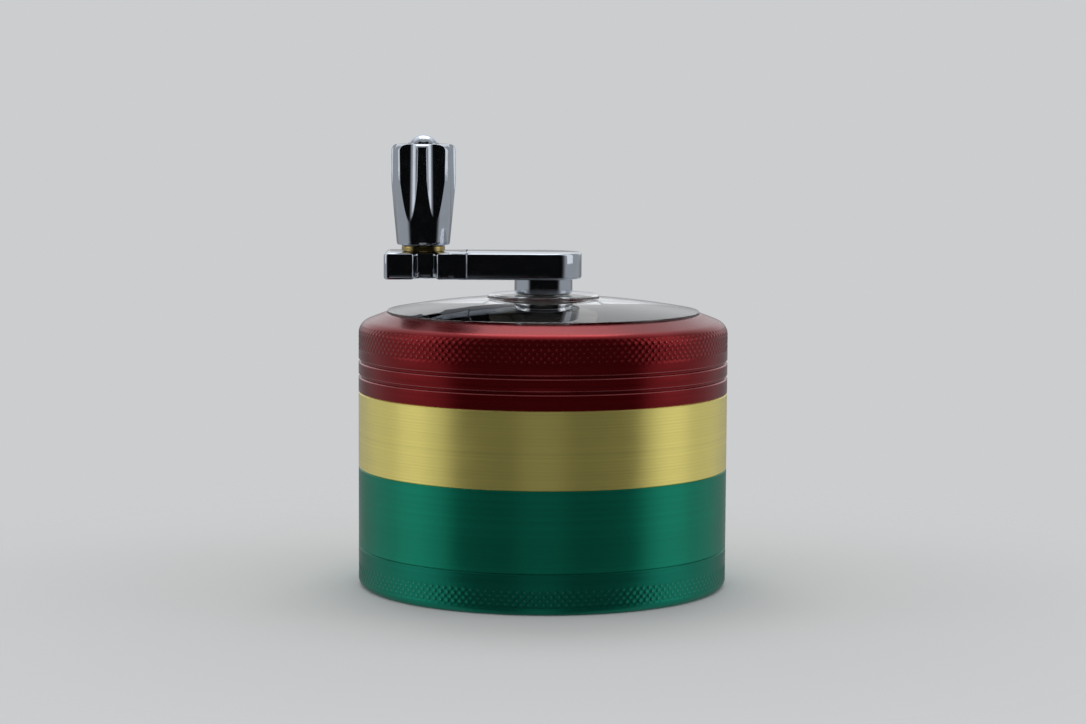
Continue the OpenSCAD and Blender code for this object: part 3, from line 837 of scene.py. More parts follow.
@dataclass(frozen=True)
class BaseTray:
    """Bottom tray: knurled band, rounded lower edge and a threaded mouth."""

    floor: float = 1.6
    lower_round: float = 1.25
    floor_fillet: float = 1.0
    plain_low: float = 5.4
    band_rows: int = 20

    def build(self, shop: Workshop) -> None:
        """Makes the tray."""
        size, top, radius, edge = BODY, BODY.tray_top, BODY.radius, BODY.chamfer
        outside = rounded([(0.0, 0.0), (radius - 4.0, 0.0), (radius, 0.0, self.lower_round),
                           (radius, TRAY_KNURL.low)], steps=8)[:-1]
        band = wall(radius, TRAY_KNURL.low + 0.05, TRAY_KNURL.high + 0.1, self.band_rows)
        rim = [(radius, self.plain_low), (radius, top - 2.0 * edge), (radius, top - edge),
               (radius - edge, top)]
        inside = rounded([(size.cavity, top - size.recess), (size.cavity, self.floor, self.floor_fillet),
                          (20.0, self.floor), (0.0, self.floor)], steps=6)[1:]
        profile = np.concatenate([outside, band, rim, size.mouth(top), inside])
        relief = reliefs(TRAY_KNURL, size.mouth_thread(top))
        shop.piece("tray_body", revolved(profile, size.knurl_columns, relief), TRAY_GREEN,
                   Body.TRAY, "base_tray")


@dataclass(frozen=True)
class ScreenSection:
    """Second section: threaded chamber, woven screen, hoop and snap ring."""

    ledge: float = 0.8
    hoop_height: float = 1.0
    hoop_width: float = 1.5
    snap_height: float = 0.8
    snap_width: float = 1.2
    snap_seat: float = 0.35
    snap_split: float = 6.0
    wire_pitch: float = 0.6
    wire_radius: float = 0.085
    line_pitch: float = 0.42
    line_depth: float = 0.004
    line_rows: int = 130

    def build(self, shop: Workshop) -> None:
        """Makes the chamber, the screen and its rings."""
        self.chamber(shop)
        self.screen(shop)
        self.rings(shop)

    def chamber(self, shop: Workshop) -> None:
        """Makes the chamber's wall with its spigot and mouth."""
        size = BODY
        low, top = size.tray_top, size.screen_top
        seat = low + self.ledge
        snap = seat + self.hoop_height
        snap_top, snap_radius = snap + self.snap_height, size.cavity + self.snap_seat
        inside = rounded([
            (size.cavity, top - size.recess), (size.cavity, snap_top), (snap_radius, snap_top),
            (snap_radius, snap), (size.cavity, snap), (size.cavity, seat, 0.2),
            (size.bore, seat, 0.15), (size.bore, low - size.spigot + 1.0),
        ])[1:-1]
        profile = np.concatenate([size.spigot_wall(low), size.outside(low, top, self.line_rows),
                                  size.mouth(top), inside])
        relief = reliefs(size.spigot_thread(low), size.mouth_thread(top),
                         TurnedLines(size.radius, low, top, self.line_pitch, self.line_depth))
        shop.piece("screen_chamber_body", revolved(profile, size.columns, relief), GREEN,
                   Body.SCREEN, "screen_chamber")

    def screen(self, shop: Workshop) -> None:
        """Makes the woven screen.

        Each wire is a square tube along a chord of the screen's circle. Its middle line rises and
        falls as cos(pi x / pitch), with the sign turned from one wire to the next, so that the two
        families pass over and under each other.
        """
        low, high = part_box("screen_mesh")
        radius, middle = high[0] / MM - 0.05, (low[2] + high[2]) / 2.0 / MM
        pitch, swing = self.wire_pitch, self.wire_radius * 0.75
        spots = np.arange(-math.floor(radius / pitch) + 0.5, radius / pitch) * pitch
        wires = []
        for number, across in enumerate(spots):
            half = math.sqrt(max(radius**2 - across**2, 0.0))
            if half < 2.0 * pitch:
                continue
            along = np.linspace(-half, half, 2 * math.ceil(half / pitch) + 1)
            sign = 1.0 if number % 2 else -1.0
            height = middle + swing * sign * np.sign(np.cos(math.pi * along / pitch + 0.4))
            path = np.stack([along, np.full_like(along, across), height], axis=1)
            crossing = path * [1.0, 1.0, -1.0] + [0.0, 0.0, 2.0 * middle]
            wires += [self.wire(path), self.wire(crossing).turned(math.pi / 2.0)]
        shop.piece("woven_screen", joined(wires), WIRE, Body.SCREEN, "screen_mesh",
                   crease=80.0)

    def wire(self, path: np.ndarray) -> Shell:
        """Square tube of the wire's thickness along path, closed at both ends."""
        corners = np.array([[1.0, 0.0], [0.0, 1.0], [-1.0, 0.0], [0.0, -1.0]]) * self.wire_radius
        points = path[:, None, :] + np.concatenate([np.zeros((4, 1)), corners], axis=1)[None]
        last = len(path) - 1
        ends = np.array([[3, 2, 1, 0], [0, 1, 2, 3]]) + np.array([[0], [4 * last]])
        return Shell(points.reshape(-1, 3), np.concatenate([tube(last, 4), ends]), NO_TRIS)

    def rings(self, shop: Workshop) -> None:
        """Makes the hoop round the screen and the split snap ring above it."""
        size = BODY
        seat = size.tray_top + self.ledge
        low, outer = seat + self.hoop_height, size.cavity - SEAM
        hoop = ring(outer - self.hoop_width, outer, seat, low, (0.3, 0.1, 0.3, 0.3))
        shop.piece("hoop_ring", revolved(hoop, size.columns), STEEL, Body.SCREEN,
                   "screen_hoop")
        outer = size.cavity + self.snap_seat - SEAM
        inner = outer - self.snap_width
        gap = math.asin(self.snap_split / 2.0 / inner)
        angles = np.linspace(gap, TURN - gap, 181)
        outline = np.concatenate([circle(outer, angles), circle(inner, angles[::-1])])
        shop.piece("snap_ring", slab(outline, low, low + self.snap_height, 0.12), STEEL,
                   Body.SCREEN, "screen_snap_ring")


@dataclass(frozen=True)
class Teeth:
    """Rings of diamond teeth, those of the chamber and those of the rotor in turn.

    Attributes:
        first: radius of the innermost ring.
        pitch: radial distance from ring to ring.
        depth: a tooth's size along the radius.
        width: a tooth's size round the ring.
        counts: teeth in each ring, from the inside out.
        edge: radius of a tooth's rounded edges.
    """

    first: float = 9.4
    pitch: float = 3.3
    depth: float = 2.4
    width: float = 3.8
    counts: tuple[int, ...] = (4, 8, 12)
    edge: float = 0.3

    def ring(self, offset: int, low: float, high: float) -> list[Shell]:
        """Teeth from height low to height high, in the chamber's rings (offset 0) or the rotor's (1)."""
        half_depth, half_width = self.depth / 2.0, self.width / 2.0
        outline = rounded([(half_depth, 0.0, 0.35), (0.0, half_width, 0.2),
                           (-half_depth, 0.0, 0.35), (0.0, -half_width, 0.2)], closed=True, steps=3)
        tooth = slab(outline, low, high, self.edge)
        made = []
        for index, count in enumerate(self.counts):
            moved = tooth.moved(self.first + (2 * index + offset) * self.pitch)
            made += [moved.turned((k + 0.5) * TURN / count) for k in range(count)]
        return made


TEETH = Teeth()


@dataclass(frozen=True)
class MillingSection:
    """Third section: threaded wall, perforated floor, fixed teeth, post, magnet and glide ring."""

    rise: float = 0.6
    floor: float = 2.5
    bore: float = 27.6
    lip_radius: float = 28.7
    lip_height: float = 3.8
    glide_height: float = 1.6
    glide_seat: float = 0.4
    glide_proud: float = 0.2
    hole_radius: float = 1.7
    hole_edge: float = 0.25
    hole_rings: tuple[tuple[float, int], ...] = ((12.7, 12), (19.3, 20))
    outer_holes: float = 24.3
    pair_angle: float = 5.625
    tooth_inset: float = 1.6
    post_radius: float = 6.5
    post_height: float = 6.6
    magnet_radius: float = 4.4
    magnet_height: float = 2.5
    line_pitch: float = 0.5
    line_depth: float = 0.012
    line_rows: int = 180

    def glide(self) -> Interval:
        """Heights of the glide ring's seat, in the middle of the lip."""
        low = BODY.milling_top + (self.lip_height - self.glide_height) / 2.0
        return low, low + self.glide_height

    def build(self, shop: Workshop) -> None:
        """Makes the chamber, its magnet and its glide ring."""
        floor_top = BODY.screen_top + self.rise + self.floor
        lip_top = BODY.milling_top + self.lip_height
        shells = [self.outer_wall(), self.perforated_floor(), self.post(floor_top)]
        shells += TEETH.ring(0, floor_top - 0.5, lip_top - self.tooth_inset)
        shop.piece("milling_chamber_body", joined(shells), GOLD, Body.MILLING,
                   "milling_chamber")
        top = floor_top + self.post_height
        magnet = disc(self.magnet_radius, top - self.magnet_height, top, 0.1, 0.25)
        shop.piece("post_magnet", revolved(magnet, SMALL), NICKEL, Body.MILLING,
                   "chamber_magnet")
        low, high = self.glide()
        inner, outer = self.lip_radius - self.glide_seat + SEAM, self.lip_radius + self.glide_proud
        band = ring(inner, outer, low + SEAM, high - SEAM, (0.05, 0.2, 0.2, 0.05))
        shop.piece("glide_band", revolved(band, BODY.columns), NYLON, Body.MILLING,
                   "glide_ring")

    def outer_wall(self) -> Shell:
        """Wall of the section with its spigot, its turned outside and its lip."""
        size = BODY
        low, top = size.screen_top, size.milling_top
        floor_low, lip_top = low + self.rise, top + self.lip_height
        glide_low, glide_high = self.glide()
        lip_radius, seat = self.lip_radius, self.lip_radius - self.glide_seat
        lip = rounded([
            (lip_radius, top), (lip_radius, glide_low), (seat, glide_low), (seat, glide_high),
            (lip_radius, glide_high), (lip_radius, lip_top, 0.25), (self.bore, lip_top, 0.25),
            (self.bore, floor_low + self.floor - 1.0), (self.bore, floor_low),
            (size.bore, floor_low), (size.bore, low - size.spigot + 1.0),
        ])[:-1]
        relief = reliefs(size.spigot_thread(low),
                         TurnedLines(size.radius, low, top, self.line_pitch, self.line_depth))
        profile = [size.spigot_wall(low), size.outside(low, top, self.line_rows), lip]
        return revolved(np.concatenate(profile), size.columns, relief)

    def hole_centres(self) -> np.ndarray:
        """Centres of the floor's holes: two full rings, and pairs between the outermost teeth."""
        spots = [(r, (k + 0.5) * TURN / count) for r, count in self.hole_rings for k in range(count)]
        outer = TEETH.counts[-1]
        lean = math.radians(self.pair_angle)
        spots += [(self.outer_holes, k * TURN / outer + a) for k in range(outer) for a in (-lean, lean)]
        return np.array([(r * math.cos(a), r * math.sin(a)) for r, a in spots])

    def perforated_floor(self) -> Shell:
        """Floor plate with its holes, each countersunk a little at both faces.

        The two faces are plane triangulations of the disc's rim and the holes' rims, without the
        triangles that lie in a hole. Each hole is a strip of rings between them.
        """
        low = BODY.screen_top + self.rise
        high = low + self.floor
        rim_count, hole_count, rim_radius = 160, 20, self.bore + 0.3
        around = circle(1.0, np.arange(hole_count) * TURN / hole_count)[None]
        centres = self.hole_centres()
        narrow = centres[:, None] + self.hole_radius * around
        loops = [circle(rim_radius, np.arange(rim_count) * TURN / rim_count),
                 *(centres[:, None] + (self.hole_radius + self.hole_edge) * around)]
        flat, waist = np.concatenate(loops), narrow.reshape(-1, 2)
        count, edges = len(flat), []
        for loop in loops:
            numbers = len(edges) + np.arange(len(loop))
            edges += list(zip(numbers.tolist(), np.roll(numbers, -1).tolist()))
        found = delaunay_2d_cdt([tuple(p) for p in flat], edges, [], 0, 1e-7)
        spots, faces = np.array([tuple(p) for p in found[0]]), np.array(found[2])
        middle = spots[faces].mean(axis=1)
        away = np.linalg.norm(middle[:, None] - centres[None], axis=2)
        outside = np.linalg.norm(middle, axis=1) > rim_radius
        faces = faces[~((away < self.hole_radius).any(axis=1) | outside)]
        layers = ((flat, high), (flat, low), (waist, high - self.hole_edge),
                  (waist, low + self.hole_edge))
        points = [np.column_stack([plane, np.full(len(plane), z)]) for plane, z in layers]
        rims = np.arange(rim_count)
        ahead = np.roll(rims, -1)
        quads = [np.stack([rims + count, ahead + count, ahead, rims], axis=1)]
        hole = np.arange(len(waist)).reshape(len(centres), hole_count)
        ahead = np.roll(hole, -1, axis=1)
        levels = [rim_count, 2 * count, 2 * count + len(waist), count + rim_count]
        for upper, lower in zip(levels, levels[1:]):
            strip = [hole + upper, ahead + upper, ahead + lower, hole + lower]
            quads.append(np.stack(strip, axis=2).reshape(-1, 4))
        tris = np.concatenate([faces, faces[:, ::-1] + count])
        return Shell(np.concatenate(points), np.concatenate(quads), tris)

    def post(self, floor_top: float) -> Shell:
        """Centre post with the magnet's pocket."""
        low, top = floor_top - 0.5, floor_top + self.post_height
        pocket, seat = self.magnet_radius + SEAM, top - self.magnet_height
        profile = rounded([(0.0, low), (self.post_radius, low), (self.post_radius, top, 0.3),
                           (pocket, top, 0.15), (pocket, seat), (0.0, seat)])
        return revolved(profile, SMALL)


@dataclass(frozen=True)
class LidSection:
    """Lid: ring with grooves and a knurled band, clear window, gasket, bush and thrust washer."""

    bore: float = 29.2
    bore_height: float = 4.3
    rotor_bore: float = 27.9
    window: float = 26.6
    window_height: float = 3.0
    ledge_width: float = 1.6
    ledge_height: float = 0.75
    gasket: float = 0.3
    slope: float = 21.0
    shoulder: float = 2.4
    groove_low: float = 2.8
    groove_pitch: float = 2.55
    groove_width: float = 0.7
    groove_depth: float = 0.35
    band_rows: int = 18
    proud: float = 0.3
    dome: float = 2.4
    boss: float = 9.55
    boss_height: float = 2.8
    boss_round: float = 0.5
    bush: float = 4.5
    journal: float = 3.35
    washer_height: float = 0.75
    washer_width: float = 4.0

    def build(self, shop: Workshop) -> None:
        """Makes the lid's five pieces."""
        self.ring(shop)
        self.clear_window(shop)
        self.small_rings(shop)

    def groove(self, middle: float) -> list[Corner]:
        """Corners of an outer groove, from its lower, bevelled edge to its upper one."""
        low, high = middle - self.groove_width / 2.0, middle + self.groove_width / 2.0
        outer, inner, bevel = BODY.radius, BODY.radius - self.groove_depth, 0.2
        return [(outer, low, 0.04), (outer - bevel, low + bevel, 0.04),
                (inner, low + bevel + 0.06, 0.04), (inner, high - 0.1, 0.08), (outer, high, 0.08)]

    def ring(self, shop: Workshop) -> None:
        """Makes the red ring."""
        radius, edge = BODY.radius, BODY.chamfer
        low, top = BODY.milling_top, BODY.lid_top - self.proud
        ledge_top = BODY.lid_top - self.window_height - self.gasket
        ledge, ledge_low = self.window - self.ledge_width, ledge_top - self.ledge_height
        fall, seat = math.tan(math.radians(self.slope)), self.window + SEAM
        corner, groove = top - (radius - seat) * fall, low + self.groove_low
        lower = rounded([
            (self.bore, low), (radius - edge, low), (radius, low + edge), (radius, low + 2.0 * edge),
            *self.groove(groove), *self.groove(groove + self.groove_pitch),
            (radius, LID_KNURL.low - 0.4),
        ], steps=3)
        start = corner - self.shoulder * math.tan(math.radians(45.0 - self.slope / 2.0))
        band = wall(radius, LID_KNURL.low - 0.1, start - 0.05, self.band_rows)
        slope = (seat + 1.0, top - fall)
        shoulder = rounded([(radius, start), (radius, corner, self.shoulder), slope], steps=22)[1:]
        upper = rounded([
            slope, (seat, top, 0.1), (seat, ledge_top), (ledge, ledge_top, 0.1),
            (ledge, ledge_low, 0.1), (self.rotor_bore, ledge_low, 0.3),
            (self.rotor_bore, low + self.bore_height, 0.15), (self.bore, low + self.bore_height, 0.2),
            (self.bore, low),
        ])[1:-1]
        profile = np.concatenate([lower, band, shoulder, upper])
        shop.piece("lid_ring_body", revolved(profile, BODY.knurl_columns, LID_KNURL), RED,
                   Body.LID, "lid_ring")

    def clear_window(self, shop: Workshop) -> None:
        """Makes the clear window: flat below, a spherical dome above, and a low boss."""
        low, top = BODY.lid_top - self.window_height, BODY.lid_top
        high = top + self.boss_height
        bore = self.bush + SEAM
        sphere = (self.window**2 + self.dome**2) / (2.0 * self.dome)
        swing = np.linspace(math.asin(self.window / sphere), math.asin(self.boss / sphere), 49)
        dome = cap(sphere, swing, top + self.dome)
        rim = rounded([(bore, low), (self.window, low, 0.1), (*dome[0], 0.08), dome[1]])
        boss = rounded([dome[-2], (*dome[-1], 0.1), (self.boss, high, self.boss_round),
                        (bore, high, 0.1), (bore, low)], steps=8)
        profile = np.concatenate([rim, dome[2:-2], boss[:-1]])
        made = shop.piece("clear_window", revolved(profile, BODY.columns), ACRYLIC, Body.LID,
                          "window")
        made.visible_shadow = False

    def small_rings(self, shop: Workshop) -> None:
        """Makes the gasket, the bush and the thrust washer."""
        low, high = BODY.lid_top - self.window_height, BODY.lid_top + self.boss_height
        inner = self.window - self.ledge_width + SEAM
        gasket = ring(inner, self.window, low - self.gasket, low, (0.1, 0.1, 0.1, 0.1), 3)
        shop.piece("gasket_ring", revolved(gasket, BODY.columns), RUBBER, Body.LID,
                   "window_gasket")
        bush = ring(self.journal, self.bush, low, high, (0.2, 0.1, 0.2, 0.2), 3)
        shop.piece("bush_sleeve", revolved(bush, SMALL), STEEL, Body.LID, "shaft_bush")
        inner = self.journal + SEAM
        outer = inner + self.washer_width
        washer = ring(inner, outer, low - self.washer_height, low, (0.1, 0.2, 0.2, 0.1), 3)
        shop.piece("thrust_ring", revolved(washer, SMALL), NYLON, Body.LID,
                   "thrust_washer")


@dataclass(frozen=True)
class Drive:
    """Rotor with its hanging teeth, its magnet and what clamps it to the shaft."""

    radius: float = 27.3
    plate_low: float = 40.2
    plate_high: float = 42.6
    tooth_low: float = 24.2
    shaft: float = 2.0
    cap: float = 8.0
    cap_top: float = 43.15
    hub: float = 6.5
    hub_low: float = 30.5
    socket_low: float = 38.15
    pocket: float = 3.62
    magnet: float = 4.4
    magnet_height: float = 2.5

    def build(self, shop: Workshop) -> None:
        """Makes the rotor and its magnet, and dresses the shaft, the screw and the lock washer."""
        mouth, low, seat = self.magnet + SEAM, self.hub_low, self.hub_low + self.magnet_height
        body = rounded([
            (mouth, low, 0.1), (self.hub, low, 0.3), (self.hub, self.plate_low, 0.8),
            (self.radius, self.plate_low, 0.3), (self.radius, self.plate_high, 0.5),
            (self.cap, self.plate_high, 0.3), (self.cap, self.cap_top, 0.2),
            (self.shaft, self.cap_top), (self.shaft, self.socket_low),
            (self.pocket, self.socket_low), (self.pocket, seat), (mouth, seat),
        ], closed=True)
        shells = [revolved(body, 240), *TEETH.ring(1, self.tooth_low, self.plate_high - 0.6)]
        shop.piece("rotor_body", joined(shells), ALUMINIUM, Body.CRANK, "rotor")
        magnet = disc(self.magnet, low, seat, 0.25, 0.1)
        shop.piece("hub_magnet", revolved(magnet, SMALL), NICKEL, Body.CRANK,
                   "rotor_magnet")
        for node in ("drive_shaft", "rotor_screw", "lock_washer"):
            shop.dress(node, STEEL)


@dataclass(frozen=True)
class Crank:
    """Chromed crank arm with its collar, the washer under the knob and the knob's pin."""

    low: float = 52.5
    high: float = 56.95
    half_width: float = 6.5
    bar_half: float = 6.2
    reach: float = 20.5
    end: float = 6.45
    block: float = 7.5
    notch_width: float = 3.8
    notch_depth: float = 3.1
    notch_shift: float = 0.55
    waist: float = 0.35
    edge: float = 0.4
    collar: float = 4.95
    collar_low: float = 49.9
    journal: float = 3.32
    washer: float = 3.7
    washer_height: float = 1.1
    pin: float = 1.5
    head: float = 2.6
    head_low: float = 75.3
    head_height: float = 1.55

    def build(self, shop: Workshop) -> None:
        """Makes the arm, the washer and the pin."""
        collar = ring(self.journal, self.collar, self.collar_low, self.low + 0.6, (0.0, 0.3, 0.0, 0.0))
        arm = joined([slab(self.outline(), self.low, self.high, self.edge), revolved(collar, 128)])
        shop.piece("crank_arm_body", arm, CHROME, Body.CRANK, "crank_arm", crease=40.0)
        spacer = ring(self.pin + SEAM, self.washer, self.high, self.high + self.washer_height,
                      (0.0, 0.25, 0.25, 0.0))
        shop.piece("knob_spacer", revolved(spacer, SMALL).moved(-self.reach), BRASS, Body.CRANK,
                   "knob_washer")
        dome = (self.head**2 + self.head_height**2) / (2.0 * self.head_height)
        tip = self.head_low + self.head_height
        swing = np.linspace(math.asin(self.head / dome), 0.0, 13)[:-1]
        shank = rounded([(0.0, self.low), (self.pin + 0.8, self.low), (self.pin, self.low + 0.8),
                         (self.pin, self.head_low), (self.head, self.head_low, 0.1),
                         (self.head, self.head_low + 0.1)])
        profile = np.concatenate([shank[:-1], cap(dome, swing, tip), [[0.0, tip]]])
        shop.piece("pin_body", revolved(profile, SMALL).moved(-self.reach), CHROME, Body.CRANK,
                   "knob_pin")

    def outline(self) -> np.ndarray:
        """Outline of the arm from above: round hub, straight bar, and the notched end block."""
        wide, bar = self.half_width, self.bar_half
        block = -self.reach + self.block
        near = -self.reach + self.notch_shift + self.notch_width / 2.0
        far = near - self.notch_width
        end = -self.reach - self.end
        deep = wide - self.notch_depth
        upper = [
            (wide, wide, wide - 0.01), (-1.0, wide, 0.8), (-2.4, bar, 0.8), (block + 0.1, bar, 0.15),
            (block, wide, 0.2), ((block + near) / 2.0, wide - 2.0 * self.waist, 3.5),
            (near, wide, 0.5), (near, deep, 1.2), (far, deep, 1.2), (far, wide, 0.5), (end, wide, 1.1),
        ]
        lower = [(x, -y, radius) for x, y, radius in upper[::-1]]
        return rounded(upper + lower, closed=True, steps=10)


@dataclass(frozen=True)
class Knob:
    """Fluted knob that turns on its pin.

    Attributes:
        low: height of its foot.
        height: its height.
        foot: radius at the foot.
        wide: radius from wide_at upwards.
        wide_at: height above the foot where it is widest.
        flutes: number of flutes.
        flute_depth: depth of a flute at the top.
        flute_radius: radius of a flute's hollow.
        flute_start: height above the foot where a flute runs out.
        soft: width over which a flute's edge is rounded.
    """

    low: float = 58.1
    height: float = 17.15
    foot: float = 4.5
    wide: float = 5.5
    wide_at: float = 10.8
    upper_round: float = 1.2
    foot_round: float = 0.3
    bore: float = 1.55
    flutes: int = 7
    flute_depth: float = 0.9
    flute_radius: float = 2.8
    flute_start: float = 4.3
    soft: float = 0.05
    columns: int = 448
    rows: int = 96

    def relief(self, angle: np.ndarray, r: np.ndarray, z: np.ndarray) -> np.ndarray:
        """Change of radius that cuts the flutes.

        At height z a flute is a circle of flute_radius whose centre lies at distance d from the
        axis, so its wall is at d cos(a) - sqrt(flute_radius^2 - d^2 sin(a)^2) for the angle a
        from the flute's middle. The new radius is the smooth minimum of that wall and r.
        """
        part = (angle + math.pi / 2.0) * self.flutes / TURN
        lean = (part - np.floor(part) - 0.5) * TURN / self.flutes
        start = self.foot + (self.wide - self.foot) * self.flute_start / self.wide_at
        drop = start - self.wide + self.flute_depth
        climb = (z - self.low - self.flute_start) / (self.height - self.flute_start)
        reach = start + self.flute_radius - drop * climb
        inside = np.maximum(self.flute_radius**2 - (reach * np.sin(lean))**2, 0.0)
        hollow = reach * np.cos(lean) - np.sqrt(inside)
        mix = np.clip(0.5 + (r - hollow) / (2.0 * self.soft), 0.0, 1.0)
        lower = r + (hollow - r) * mix - self.soft * mix * (1.0 - mix)
        return np.where(r > self.bore + 0.5, lower - r, 0.0)

    def build(self, shop: Workshop) -> None:
        """Makes the knob."""
        side = np.linspace(self.foot_round, self.height - self.upper_round, self.rows)
        radius = self.foot + (self.wide - self.foot) * np.clip(side / self.wide_at, 0.0, 1.0)
        side_wall = np.stack([radius, side], axis=1)
        foot = rounded([(self.bore, 0.0), (self.foot, 0.0, self.foot_round), (self.foot, 1.0)])[:-1]
        top = rounded([(self.wide, self.height - 2.0), (self.wide, self.height, self.upper_round),
                       (self.bore, self.height)], steps=24)[1:]
        profile = np.concatenate([foot, side_wall[1:-1], top]) + [0.0, self.low]
        shell = revolved(profile, self.columns, self.relief).moved(-Crank().reach)
        shop.piece("knob_body", shell, CHROME, Body.KNOB, "crank_knob", crease=60.0)


# --------------------------------------------------------------------------- studio


@dataclass(frozen=True)
class Softbox:
    """Rectangular lamp, aimed at the mill.

    Attributes:
        name: the lamp's name.
        place: its centre, in metres.
        width: its width, in metres.
        height: its height, in metres.
        level: its radiance as the mill sees it.
    """

    name: str
    place: tuple[float, float, float]
    width: float
    height: float
    level: float

    def build(self) -> None:
        """Makes the lamp; its power is pi times its area times its level."""
        light = bpy.data.lights.new(self.name, "AREA")
        light.shape = "RECTANGLE"
        light.size, light.size_y = self.width, self.height
        light.energy = math.pi * self.width * self.height * self.level
        lamp = placed(self.name, light)
        lamp.location = self.place
        aim = Vector((0.0, 0.0, 0.03)) - lamp.location
        lamp.rotation_euler = aim.to_track_quat("-Z", "Y").to_euler()


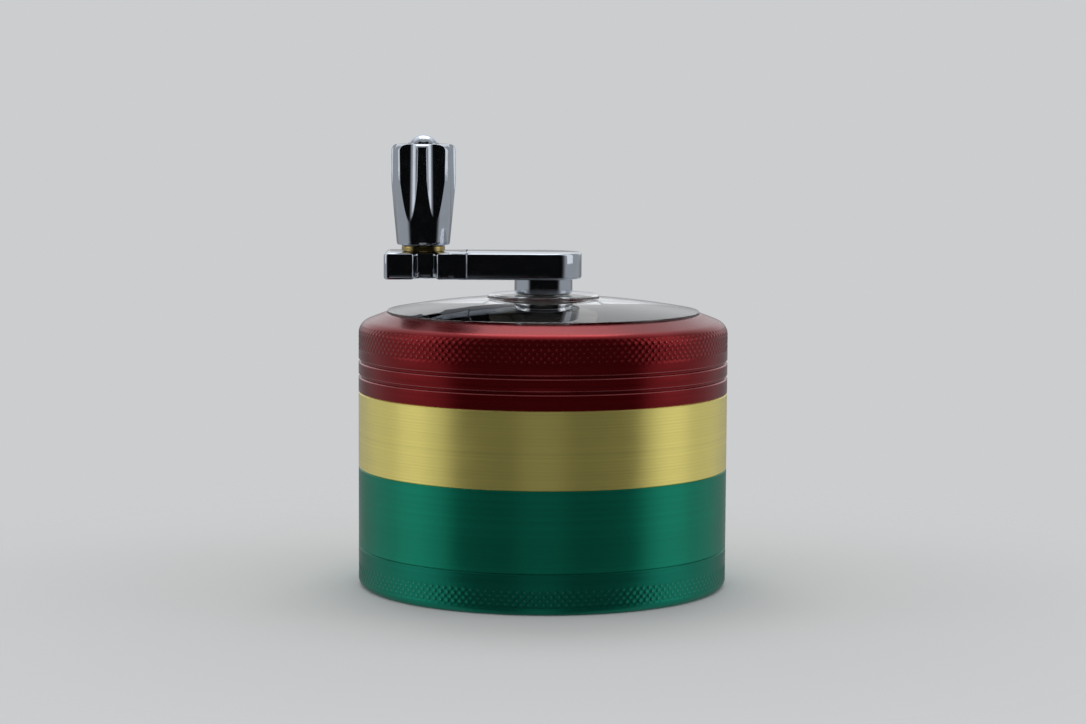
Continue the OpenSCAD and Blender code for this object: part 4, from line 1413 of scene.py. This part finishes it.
@dataclass(frozen=True)
class Studio:
    """Pale sweep, soft lamps and the camera.

    Angles are in degrees: those round the mill are counted from the front, where the camera
    stands, and elevations from the horizon. A pair holds the two ends of a soft border.

    Attributes:
        pale: linear colour of the backdrop.
        lighting: linear colour of the light that the backdrop sheds.
        mirrored: level of the backdrop in mirrors, against its level in view.
        shade: the same on the dark side, behind the camera.
        glow: how much lighter the backdrop is in mirrors behind the mill, above the horizon.
        dim: how much darker it is there below the horizon.
        canopy: how much lighter it is high up behind the mill.
        table: how much lighter it is low down in front, where the table would be.
        front_turn: how far the middle of the dark side is turned to the right.
        front, front_high: where the dark side ends sideways and upwards.
        behind, horizon: where the glow begins sideways, and where it follows on the dim part.
        rear, high: where the canopy begins sideways, as cosines, and upwards.
        near, under: where the table's light ends sideways and upwards.
        floor_colour: linear colour of the floor.
        floor_radius: radius at which the floor has faded into the backdrop, in metres.
        floor_clear: how much of the floor is left out of mirrors.
        lamps: the softboxes.
    """

    pale: Colour = (0.60, 0.61, 0.625)
    lighting: Colour = (0.62, 0.62, 0.62)
    mirrored: float = 0.75
    shade: float = 0.006
    glow: float = 0.75
    dim: float = 0.3
    canopy: float = 0.8
    table: float = 0.42
    front_turn: float = 3.0
    front: Interval = (76.0, 50.0)
    front_high: Interval = (62.0, 75.0)
    behind: Interval = (150.0, 126.0)
    horizon: Interval = (-4.0, 12.0)
    rear: Interval = (-0.45, -0.1)
    high: Interval = (36.0, 50.0)
    near: Interval = (18.0, 13.0)
    under: Interval = (-24.0, -15.0)
    floor_colour: Colour = (0.74, 0.75, 0.765)
    floor_radius: float = 0.15
    floor_clear: float = 0.9
    lamps: tuple[Softbox, ...] = (
        Softbox("lamp_top", (0.0, 0.25, 0.58), 0.36, 0.24, 2.3),
        Softbox("lamp_left", (-0.6, -0.03, 0.28), 0.28, 0.5, 0.62),
        Softbox("lamp_right", (0.6, -0.02, 0.28), 0.28, 0.5, 0.66),
    )

    def build(self) -> None:
        """Makes the world, the floor, the lamps and the camera."""
        self.world()
        self.floor()
        for lamp in self.lamps:
            lamp.build()
        self.camera()
        bpy.context.scene.view_settings.view_transform = "Standard"

    def world(self) -> None:
        """Makes the backdrop: pale all round, and dark in mirrors towards the camera."""
        world = bpy.data.worlds.new("sweep")
        bpy.context.scene.world = world
        graph = Graph(world)
        x, y, z = graph.split(graph.node("TexCoord").outputs["Generated"])
        mirrored = self.mirrors(graph, graph.flat(x, y), z)
        path = graph.node("LightPath").outputs
        strength = graph.node("Mix", {0: path["Is Glossy Ray"], 2: 1.0, 3: mirrored}).outputs[0]
        bent = graph.math("MAXIMUM", path["Is Glossy Ray"], path["Is Transmission Ray"])
        seen = graph.math("MAXIMUM", path["Is Camera Ray"], bent)
        colours = {0: seen, 6: (*self.lighting, 1.0), 7: (*self.pale, 1.0)}
        colour = graph.node("Mix", colours, data_type="RGBA").outputs[2]
        graph.finish("Background", {"Color": colour, "Strength": strength})

    def mirrors(self, graph: Graph, flat: Socket, z: Socket) -> Socket:
        """Level of the backdrop in mirrors.

        Args:
            graph: the world's graph.
            flat: the level part of the direction.
            z: its rise.

        Returns:
            The level, against that of the backdrop in view.
        """
        reach = graph.math("MAXIMUM", graph.length(flat), 0.01)

        def ahead(turn: float) -> Socket:
            """Cosine of the angle round the mill from a heading turned by turn degrees."""
            heading = (math.sin(math.radians(turn)), -math.cos(math.radians(turn)), 0.0)
            inputs = {0: flat, 1: heading}
            along = graph.node("VectorMath", inputs, operation="DOT_PRODUCT").outputs["Value"]
            return graph.math("DIVIDE", along, reach)

        def sideways(cosine: Socket, border: Interval, start: float, end: float) -> Socket:
            """Ramp over a border of angles round the mill."""
            return graph.ramp(cosine, *(math.cos(math.radians(a)) for a in border), start, end)

        def upwards(border: Interval, start: float, end: float) -> Socket:
            """Ramp over a border of elevations."""
            return graph.ramp(z, *(math.sin(math.radians(a)) for a in border), start, end)

        turned = ahead(self.front_turn)
        parts = (
            (sideways(turned, self.front, 0.0, 1.0), upwards(self.front_high, 1.0, 0.0)),
            (sideways(turned, self.behind, 1.0, 0.0), upwards(self.horizon, -self.dim, self.glow)),
            (graph.ramp(turned, *self.rear, 1.0, 0.0), upwards(self.high, 0.0, self.canopy)),
            (sideways(ahead(0.0), self.near, 0.0, self.table), upwards(self.under, 1.0, 0.0)),
        )
        dark, glow, canopy, table = (graph.math("MULTIPLY", *pair) for pair in parts)
        level = graph.ramp(dark, 0.0, 1.0, self.mirrored, self.shade)
        for part in (glow, canopy, table):
            level = graph.math("ADD", level, part)
        return level

    def floor(self) -> None:
        """Makes the floor: a disc that turns clear towards its rim, and in mirrors."""
        graph = Graph(bpy.data.materials.new("floor"))
        away, radius = graph.length(graph.place()), self.floor_radius / MM
        fade = graph.ramp(away, radius * 0.45, radius * 0.95, 0.0, 1.0)
        matt = graph.node("BsdfDiffuse", {"Color": (*self.floor_colour, 1.0)}).outputs[0]
        clear = graph.node("BsdfTransparent").outputs[0]
        glossy = graph.node("LightPath").outputs["Is Glossy Ray"]
        gone = graph.math("MAXIMUM", fade, graph.math("MULTIPLY", glossy, self.floor_clear))
        count = 128
        rim = circle(self.floor_radius, np.arange(count) * TURN / count)
        mesh = bpy.data.meshes.new("floor")
        mesh.from_pydata([(x, y, 0.0) for x, y in rim.tolist()], [], [range(count)])
        mesh.materials.append(graph.finish("MixShader", {0: gone, 1: matt, 2: clear}))
        made = placed("floor", mesh)

    def camera(self) -> None:
        """Makes the camera: a long lens a little above the mill, rolled a third of a degree."""
        pixels_wide, focal_pixels = 1086.0, 2699.7
        back, height = 0.460, 0.08337
        pitch, roll = 0.09813, 0.00526
        data = bpy.data.cameras.new("camera")
        data.sensor_width = 36.0
        data.lens = data.sensor_width * focal_pixels / pixels_wide
        data.clip_start, data.clip_end = 0.01, 10.0
        made = placed("camera", data)
        made.location = (0.0, -back, height)
        turn = Matrix.Rotation(math.pi / 2.0 - pitch, 3, "X") @ Matrix.Rotation(roll, 3, "Z")
        made.rotation_euler = turn.to_euler()
        bpy.context.scene.camera = made


def corners(box: Sequence[Sequence[float]]) -> list[list[float]]:
    """A box's two corners as plain lists."""
    return [[float(x) for x in corner] for corner in box]


def main() -> None:
    """Builds the sections in order, then the studio."""
    logging.basicConfig(level=logging.INFO, format="%(name)s: %(message)s")
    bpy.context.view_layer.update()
    shop = Workshop()
    for section in (BaseTray, ScreenSection, MillingSection, LidSection, Drive, Crank, Knob):
        section().build(shop)
    Studio().build()


if __name__ == "__main__":
    main()
